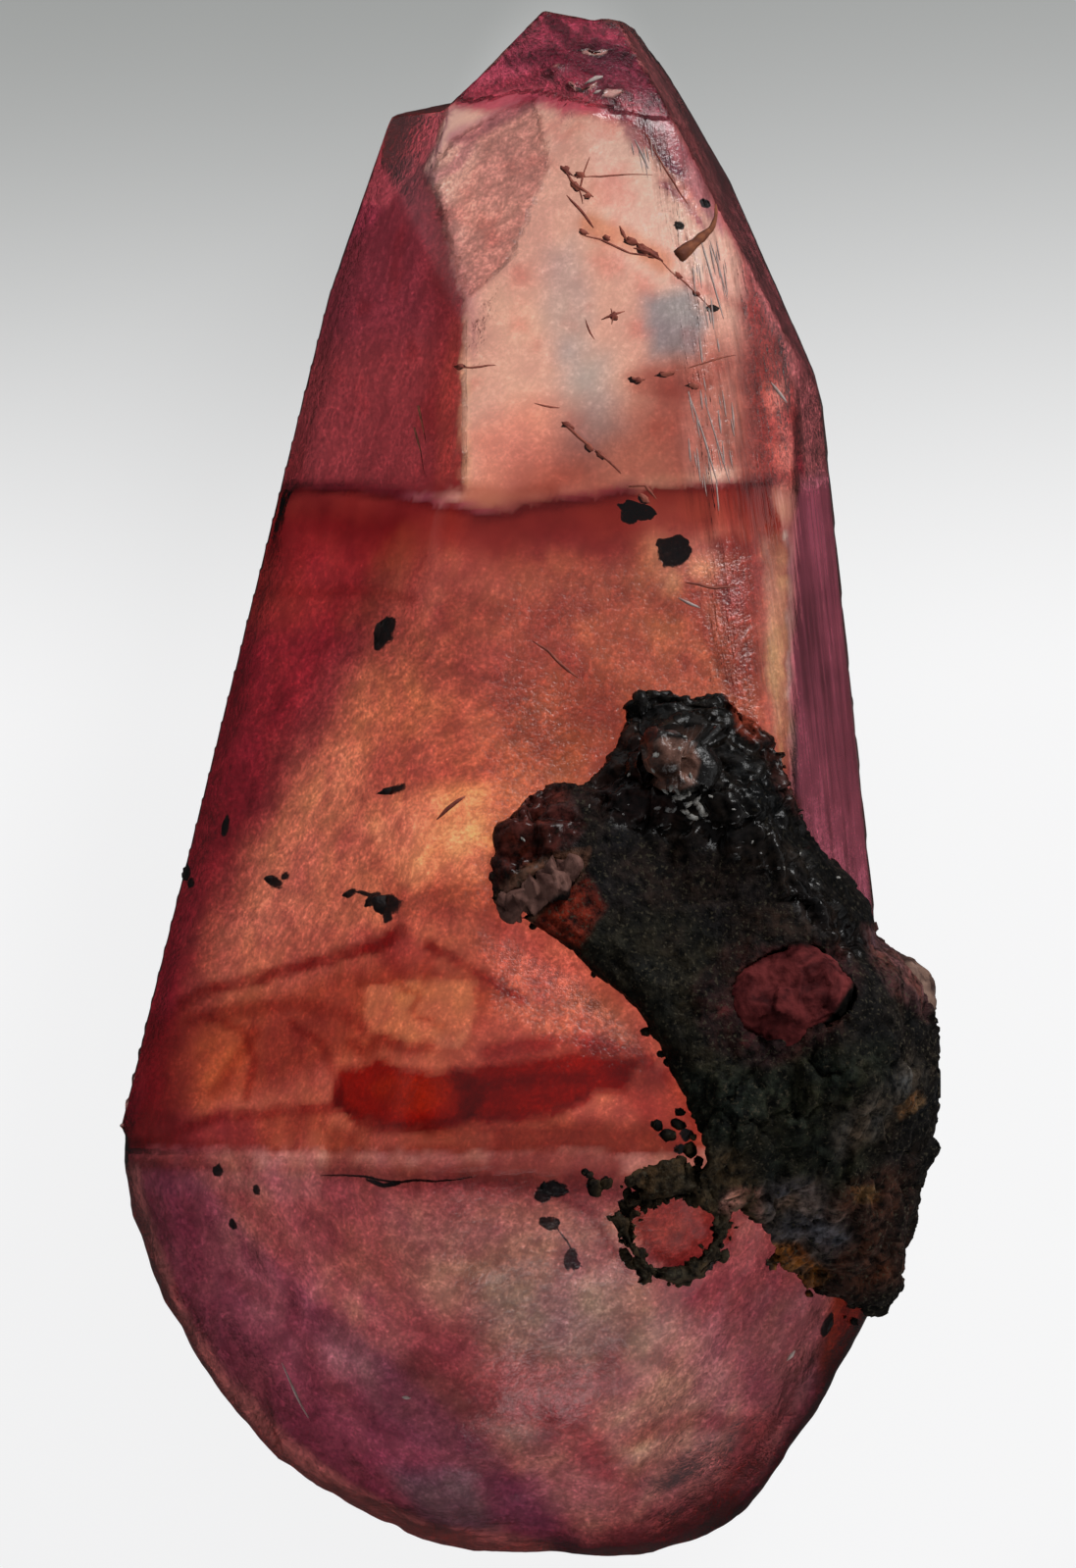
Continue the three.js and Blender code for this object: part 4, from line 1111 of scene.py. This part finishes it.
# Zones of the rock: an outline in pixels, the blur in millimetres and the colour
ROCK_ZONES = {
    "middle": ([600, 850, 720, 850, 860, 950, 800, 990, 700, 960, 600, 900], 0.3, (0.02, 0.013, 0.011)),
    "green": (
        [545, 945, 700, 925, 760, 1000, 760, 1110, 660, 1110, 600, 1010], 0.15, (0.017, 0.0145, 0.009),
    ),
    "green_low": ([690, 1090, 900, 1060, 880, 1220, 760, 1240, 680, 1180], 0.2, (0.016, 0.018, 0.011)),
    "left_tip": (
        [490, 885, 505, 840, 530, 805, 575, 800, 590, 840, 556, 880, 520, 910], 0.08, (0.1, 0.021, 0.016),
    ),
    "top_brown": (
        [600, 760, 650, 740, 700, 760, 690, 830, 620, 840, 580, 810], 0.15, (0.022, 0.009, 0.007),
    ),
    "rust": ([544, 905, 598, 893, 614, 926, 592, 960, 548, 948], 0.06, (0.17, 0.018, 0.008)),
    "red_dots": ([738, 708, 758, 690, 790, 740, 768, 760, 748, 748], 0.03, (0.28, 0.045, 0.022)),
    "red_edge": ([770, 720, 800, 760, 815, 830, 796, 820, 776, 770], 0.04, (0.05, 0.014, 0.01)),
    "steep": (
        [790, 800, 850, 890, 930, 960, 890, 950, 820, 880, 760, 820, 740, 780],
        0.05, (0.004, 0.004, 0.004),
    ),
    "grey_streak": ([846, 1140, 926, 1072, 944, 1090, 900, 1150, 850, 1178], 0.08, (0.07, 0.056, 0.044)),
    "orange_speck": ([908, 1122, 932, 1108, 938, 1122, 914, 1136], 0.03, (0.2, 0.1, 0.04)),
    "brown_low": ([836, 1216, 926, 1180, 916, 1300, 850, 1330, 812, 1270], 0.12, (0.06, 0.022, 0.013)),
    "brown_speck": ([864, 1208, 890, 1206, 888, 1220, 866, 1222], 0.03, (0.2, 0.09, 0.03)),
    "gap": ([728, 1205, 772, 1205, 778, 1262, 748, 1278, 730, 1250], 0.05, (0.95, 0.42, 0.36)),
    "grey_low": ([770, 1200, 836, 1190, 862, 1256, 826, 1296, 776, 1280], 0.1, (0.085, 0.066, 0.062)),
    "orange_edge": ([770, 1262, 812, 1262, 846, 1296, 820, 1318, 790, 1300], 0.05, (0.22, 0.07, 0.012)),
    "pink_edge": (
        [878, 940, 916, 950, 950, 1000, 940, 1040, 905, 1010, 884, 976], 0.06, (0.1, 0.036, 0.034),
    ),
    "ring": (
        [606, 1180, 690, 1150, 770, 1180, 780, 1280, 700, 1330, 606, 1300], 0.1, (0.05, 0.034, 0.018),
    ),
    "ruby_patch": (
        [748, 980, 773, 966, 808, 962, 852, 966, 866, 992, 846, 1030, 818, 1057, 789, 1076, 770, 1070,
         750, 1056, 726, 1032, 730, 1014, 748, 998], 0.03, (0.13, 0.024, 0.024),
    ),
    "vein": (
        [500, 944, 506, 912, 524, 894, 540, 880, 562, 868, 600, 858, 592, 896, 566, 912, 552, 928,
         530, 946], 0.02, (0.2, 0.09, 0.056),
    ),
    "round_ruby": (
        [700, 1000, 740, 962, 850, 960, 876, 990, 850, 1060, 780, 1086, 720, 1060],
        0.08, (0.03, 0.012, 0.011),
    ),
}
# Where the rock is wet and glossy, and where it is rugged: an outline, the blur and an amount
WET_ZONES = {
    "ridge": (
        [600, 800, 660, 740, 720, 780, 790, 850, 860, 920, 900, 960, 860, 980, 780, 890, 700, 850,
         620, 840], 0.12, 1.0,
    ),
    "top": ([600, 700, 790, 690, 830, 860, 740, 830, 640, 780], 0.15, 0.75),
    "left_tip": (ROCK_ZONES["left_tip"][0], 0.1, 0.8),
    "steep": (ROCK_ZONES["steep"][0], 0.1, 0.35),
}
RUGGED_ZONES = {
    "ridge": WET_ZONES["ridge"],
    "top": WET_ZONES["top"],
    "low": ([700, 1080, 980, 1020, 980, 1400, 640, 1400], 0.3, 0.7),
    "ring": ([590, 1150, 770, 1150, 770, 1320, 590, 1320], 0.1, 0.8),
    "left_tip": (ROCK_ZONES["left_tip"][0], 0.1, 0.8),
}
# Layers of its broken grain: the size, how deep the joints are, the tilt of the faces and the seed
ROCK_GRAINS = [(0.42, 0.05, 0.4, 41), (0.17, 0.02, 0.2, 43)]
FLECK_COLOUR = colour(0.12, 0.1, 0.065)

# The ring of rock that lies on the crystal: its middle and its hole, in pixels. Below and to the
# right it is thinner than in the CAD model, by this share and by uneven amounts.
RING_OUTLINE = [596, 1170, 742, 1200, 760, 1250, 766, 1340, 596, 1340]
RING_MIDDLE = (687, 1255)
RING_HOLE = 40
RING_THIN = 0.4
RING_THINNEST = 0.15  # no part of it is thinner than this share


def rock_tints(points):
    places = wandering(points, 0.09)
    tint = np.tile(ROCK_COLOUR, (len(points), 1))
    for number, (outline, blur, shade) in enumerate(ROCK_ZONES.values()):
        patchy = smooth_step(-0.6, 0.1, rough_noise(points, 0.3, 91 + number))
        amount = zone_share(places, outline, blur) * (0.25 + 0.75 * patchy)
        tint += amount[:, None] * (np.array(shade) - tint)
    clouds = rough_noise(points, 0.6, 89) + 0.8 * rough_noise(points, 0.2, 90)
    hue = rough_noise(points, 0.45, 92)
    return tint * np.exp(1.1 * clouds[:, None] + 0.6 * hue[:, None] * (1.0, 0.2, -0.6))


def rock_material():
    material, look = material_look("amphibole")
    tint = look.attribute("tint", "Color")
    wet = look.attribute("wet")
    mottle = look.noise(look.place(), 9.0, 4, 0.65)
    fleck = look.noise(look.place(), 22.0, 2, 0.6)
    shade = look.times(tint, look.remap(mottle, (0.3, 0.7), (0.1, 2.3)))
    dry = look.calc("SUBTRACT", 1.0, wet)
    flecks = look.calc("MULTIPLY", look.remap(fleck, (0.56, 0.7), (0.0, 0.7)), dry)
    look.shade(
        Base_Color=look.mix(flecks, shade, FLECK_COLOUR),
        Roughness=look.remap(wet, (0.0, 1.0), (0.62, 0.13)),
        Specular_IOR_Level=look.remap(wet, (0.0, 1.0), (0.14, 0.34)),
        Normal=look.bump(mottle, look.remap(wet, (0.0, 1.0), (0.9, 0.12)), 0.05),
    )
    return material


def finish_rock(name, mesh, points, material, stands_for=()):
    set_points(mesh, points)
    set_tint(mesh, rock_tints(points))
    set_layer(mesh, "wet", most_of(wandering(points, 0.15), WET_ZONES))
    finish_piece(name, mesh, material, stands_for)


def broken_ring(points):
    """Points of the rock, with the ring's outer side drawn in by uneven amounts."""
    away = points[:, :2] - on_photo(RING_MIDDLE)
    reach = np.linalg.norm(away, axis=1)
    outward = away / np.maximum(reach, 0.01)[:, None]
    in_ring = zone_share(points[:, :2], RING_OUTLINE, 0.08)
    low = smooth_step(0.4, -0.2, outward[:, 1])
    low = np.maximum(low, 0.8 * smooth_step(0.3, 0.8, outward[:, 0]))
    uneven = rough_noise(np.column_stack([outward * 1.4, np.zeros(len(points))]), 0.5, 57)
    keep = np.clip(1 - low * (1 - RING_THIN) + 0.4 * low * uneven, RING_THINNEST, 1)
    drawn_in = (1 - keep) * np.maximum(reach - RING_HOLE * PIXEL, 0) * in_ring
    moved = points.copy()
    moved[:, :2] -= outward * drawn_in[:, None]
    return moved


def amphibole_rock(material):
    mesh = even_mesh("amphibole_rock", ROCK_VOXEL)
    points = points_of(mesh)
    rugged = 0.2 + 0.8 * most_of(wandering(points, 0.2), RUGGED_ZONES)
    lift = 0.012 * rough_noise(points, 0.15, 47) + 0.03 * rugged * rough_noise(points, 0.5, 49)
    shaken = points + 0.06 * noise(points, 0.3, 45)[:, None]
    for size, joint, tilt, seed in ROCK_GRAINS:
        tilted, depth = grains(shaken, size, seed)
        lift += rugged * joint * (smooth_step(0, 0.25, depth) - 1) + rugged * tilt * tilted
    points = broken_ring(points + normals_of(mesh) * lift[:, None])
    finish_rock("amphibole_crust", mesh, points, material, ["amphibole_rock"])
    return solid_of(mesh, points)


# Bright glints on the wet ridge: the pixel of the middle and half the length in pixels
GLINTS = [
    (690, 812, 8), (700, 820, 5), (682, 803, 5), (712, 824, 8), (704, 833, 6), (668, 770, 5),
    (690, 764, 3), (702, 792, 4), (533, 855, 3), (745, 825, 2), (780, 850, 2), (812, 870, 2),
    (688, 806, 5), (696, 827, 5), (718, 830, 5), (708, 816, 6), (700, 808, 4), (676, 806, 4),
    (850, 894, 3), (640, 790, 3), (600, 822, 2), (664, 786, 3), (722, 812, 3), (734, 842, 2),
    (764, 858, 2), (796, 884, 2), (830, 900, 2), (696, 752, 2),
]
GLINT_SHAPE = np.array([1.0, 0.45, 0.3])


def glints(solids):
    heap = Heap()
    for number, (x, y, length) in enumerate(GLINTS):
        found = [under_surface(solid, [x, y], -0.01) for solid in solids]
        highest = max((spot[0] for spot in found if len(spot)), key=lambda spot: spot[2])
        half = GLINT_SHAPE * length * PIXEL
        add_crumb(heap, highest, half, 40 * number, number + 300, SMALL_BALL, 0.6)
    pale = plain_material("glint", colour(0.9, 0.88, 0.82), colour(0.35, 0.32, 0.28), 20, 0.1)
    finish_piece("rock_glints", heap.mesh("rock_glints"), pale)


# Crumbs of the rock that lie on the crystal: rings of them about a middle, in pixels
CRUMB_RINGS = [
    {"middle": (687, 1252), "reach": (38, 56), "squash": 0.95, "size": (2, 8), "count": 64},
    {"middle": (690, 1196), "reach": (0, 46), "squash": 0.5, "size": (4, 10), "count": 26},
]
# and lines of them along the rock's rim: pixels, how far they scatter and how many
CRUMB_LINES = [
    ([500, 880, 522, 918, 564, 946, 606, 976, 648, 1036, 690, 1096, 706, 1140], 4, 9),
    ([676, 1144, 700, 1160, 716, 1184], 14, 14), ([640, 1214, 634, 1240, 640, 1280, 652, 1298], 5, 16),
    ([640, 1190, 600, 1200, 560, 1206], 7, 8),
    ([730, 1180, 770, 1200, 775, 1260, 800, 1300, 860, 1340], 6, 14),
]
CRUMB_SEED = 5
CRUMB_SIZE = (2, 8)  # pixels
CRUMB_UNEVEN = (0.6, 1.2)


def rock_crumbs(solid, material):
    chance = np.random.default_rng(CRUMB_SEED)
    heap = Heap()
    spots = []
    for ring in CRUMB_RINGS:
        for _ in range(ring["count"]):
            turn = chance.uniform(0, 2 * math.pi)
            reach = chance.uniform(*ring["reach"])
            away = np.array([math.cos(turn), math.sin(turn) * ring["squash"]]) * reach
            spots.append((ring["middle"] + away, chance.uniform(*ring["size"])))
    for line, spread, count in CRUMB_LINES:
        path = smooth_line(line, 3)
        for _ in range(count):
            spot = path[chance.integers(len(path))] + chance.normal(0, spread, 2)
            spots.append((spot, chance.uniform(*CRUMB_SIZE)))
    for number, (spot, size) in enumerate(spots):
        centre = under_surface(solid, spot, 0.0)
        if len(centre):
            half = size * PIXEL * chance.uniform(*CRUMB_UNEVEN, 3)
            add_crumb(heap, centre[0], half, chance.uniform(0, 180), number + 40, SMALL_BALL, 0.5)
    mesh = heap.mesh("rock_crumbs")
    finish_rock("rock_crumbs", mesh, points_of(mesh), material)


GLASSY_OUTLINE = [656, 760, 670, 752, 700, 756, 712, 775, 706, 798, 682, 808, 662, 796, 655, 775]
EDGE_OUTLINE = [870, 930, 930, 930, 980, 1000, 980, 1070, 930, 1060, 890, 1000]
SEAM_COVER = 0.045  # the grains grow this much, so that the seam round them is closed


def grain_piece(node, name, outline, light, dark, rough, gloss, relief, ragged, facet=0.4):
    """A grain of another mineral. Outside its outline it takes the rock's colour."""
    material = mottled_material(
        name, light, dark, rough, gloss, (3.0, 6, 0.6, 0.5), (12, 4, 0.65), 0.03, bordered=True
    )
    mesh = even_mesh(node, GRAIN_VOXEL)
    points = points_of(mesh)
    lift = relief * grains(points, facet, 53)[0] + ragged * rough_noise(points, 1.25 * facet, 55)
    points = points + normals_of(mesh) * (lift + SEAM_COVER)[:, None]
    set_points(mesh, points)
    set_layer(mesh, "inside", zone_share(wandering(points, 0.06), outline, 0.03))
    finish_piece(name, mesh, material, [node])
    return solid_of(mesh, points)


# Stage, light and camera

BACK_FACET_GAP = 0.03  # millimetres between the flat back and the floor
FLOOR_HALF = 400  # millimetres
FLOOR_TURN = -3  # degrees, how far the floor's shade leans
FLOOR_TOP = colour(0.29, 0.3, 0.292)
FLOOR_BOTTOM = colour(0.95, 0.95, 0.955)
FLOOR_FAR = colour(0.45, 0.46, 0.47)
FLOOR_GREY = colour(0.25, 0.25, 0.25)
FLOOR_GLOW = 0.9
# The floor glows a little more in an oval that the crystal covers: its middle and half its size,
# in millimetres.
GLOW_MIDDLE = (0.4, 1.5)
GLOW_HALF = (2.1, 7.2)
SKY_LOW = colour(0.5, 0.51, 0.52)
SKY_HIGH = colour(0.1, 0.1, 0.105)
BELOW_SKY = colour(0.03, 0.03, 0.03)
# The lamps: where they are, in millimetres, and their watts
LAMPS = [("key_light", (74, 98, 72), 0.06), ("side_light", (20, -110, 60), 0.014)]
LAMP_WIDTH = 60
CAMERA_HEIGHT = 400.0
SENSOR = 36.0


def floor():
    """A pale floor, lit from below around the crystal as a light table is."""
    half = FLOOR_HALF * MM
    mesh = bpy.data.meshes.new("floor")
    corners = [(-half, -half, 0), (half, -half, 0), (half, half, 0), (-half, half, 0)]
    mesh.from_pydata(corners, [], [(0, 1, 2, 3)])
    made = add_object("floor", mesh)
    made.location.z = -BACK_FACET_GAP * MM
    material, look = material_look("floor")
    where = look.node("SeparateXYZ", Vector=look.place(FLOOR_TURN))
    lit = look.mix(look.remap(where.outputs["Y"], (0.5, 9.5)), FLOOR_BOTTOM, FLOOR_TOP)
    lit = look.mix(look.remap(look.length(look.place()), (9.0, 20.0)), lit, FLOOR_FAR)
    scale = (1 / GLOW_HALF[0], 1 / GLOW_HALF[1], 1)
    shift = (-GLOW_MIDDLE[0] * scale[0], -GLOW_MIDDLE[1] * scale[1], 0)
    oval = look.node("Mapping", Vector=look.place(), Location=shift, Scale=scale).outputs[0]
    look.shade(
        Base_Color=FLOOR_GREY,
        Emission_Color=look.mix(look.remap(look.length(oval), (0.5, 1.0)), WHITE, lit),
        Emission_Strength=FLOOR_GLOW,
        Specular_IOR_Level=0.0,
    )
    mesh.materials.append(material)
    made.visible_glossy = False


def studio_light():
    """A dim sky, darker on one side, and soft round lamps that point at the crystal."""
    world = bpy.data.worlds.new("studio")
    bpy.context.scene.world = world
    look = Look(world, "Background")
    where = look.node("SeparateXYZ", Vector=look.node("TexCoord").outputs["Generated"])
    rise = where.outputs["Z"]
    side = look.calc("ADD", where.outputs["X"], where.outputs["Y"])
    sky = look.mix(look.remap(rise, (0.0, 0.6)), SKY_LOW, SKY_HIGH)
    sky = look.times(sky, look.remap(side, (-0.8, 0.4), (0.2, 1.0)))
    look.shade(Color=look.mix(look.remap(rise, (-0.04, 0.0)), BELOW_SKY, sky), Strength=1.0)
    for name, where, watts in LAMPS:
        lamp = bpy.data.lights.new(name, "AREA")
        lamp.shape = "DISK"
        lamp.size = LAMP_WIDTH * MM
        lamp.energy = watts
        made = add_object(name, lamp)
        made.location = Vector(where) * MM
        made.rotation_mode = "QUATERNION"
        made.rotation_quaternion = (-made.location).to_track_quat("-Z", "Y")


def camera():
    data = bpy.data.cameras.new("camera")
    view_height = PHOTO_SIZE[1] * PIXEL
    data.sensor_width = SENSOR
    data.lens = SENSOR * CAMERA_HEIGHT / view_height
    data.clip_start = 0.01
    data.clip_end = 10
    made = add_object("camera", data)
    x, y = on_photo((PHOTO_SIZE[0] / 2, PHOTO_SIZE[1] / 2))[0]
    made.location = Vector((x, y, CAMERA_HEIGHT)) * MM
    bpy.context.scene.camera = made


def render_settings():
    scene = bpy.context.scene
    scene.view_settings.view_transform = "Standard"
    scene.cycles.max_bounces = 12
    scene.cycles.transmission_bounces = 12
    scene.cycles.diffuse_bounces = 0
    scene.cycles.glossy_bounces = 3


floor()
studio_light()
camera()
render_settings()
crystal = ruby_crystal()
crystal_contents(crystal)
amphibole = rock_material()
rock = amphibole_rock(amphibole)
rock_crumbs(crystal, amphibole)
grain_piece(
    "ruby_grain", "ruby_patch", ROCK_ZONES["ruby_patch"][0],
    colour(0.32, 0.055, 0.055), colour(0.07, 0.009, 0.011),
    rough=0.6, gloss=0.1, relief=0.2, ragged=0.16,
)
glassy = grain_piece(
    "glassy_grain", "glassy_patch", GLASSY_OUTLINE,
    colour(0.45, 0.22, 0.16), colour(0.05, 0.022, 0.016),
    rough=0.03, gloss=0.9, relief=0.7, ragged=0.1,
)
grain_piece(
    "pale_vein", "vein", ROCK_ZONES["vein"][0],
    colour(0.4, 0.2, 0.16), colour(0.12, 0.05, 0.04),
    rough=0.5, gloss=0.15, relief=0.9, ragged=0.06, facet=0.15,
)
grain_piece(
    "edge_grain", "edge_patch", EDGE_OUTLINE,
    colour(0.46, 0.27, 0.2), colour(0.09, 0.045, 0.036),
    rough=0.4, gloss=0.3, relief=0.3, ragged=0.08,
)
glints([rock, glassy])
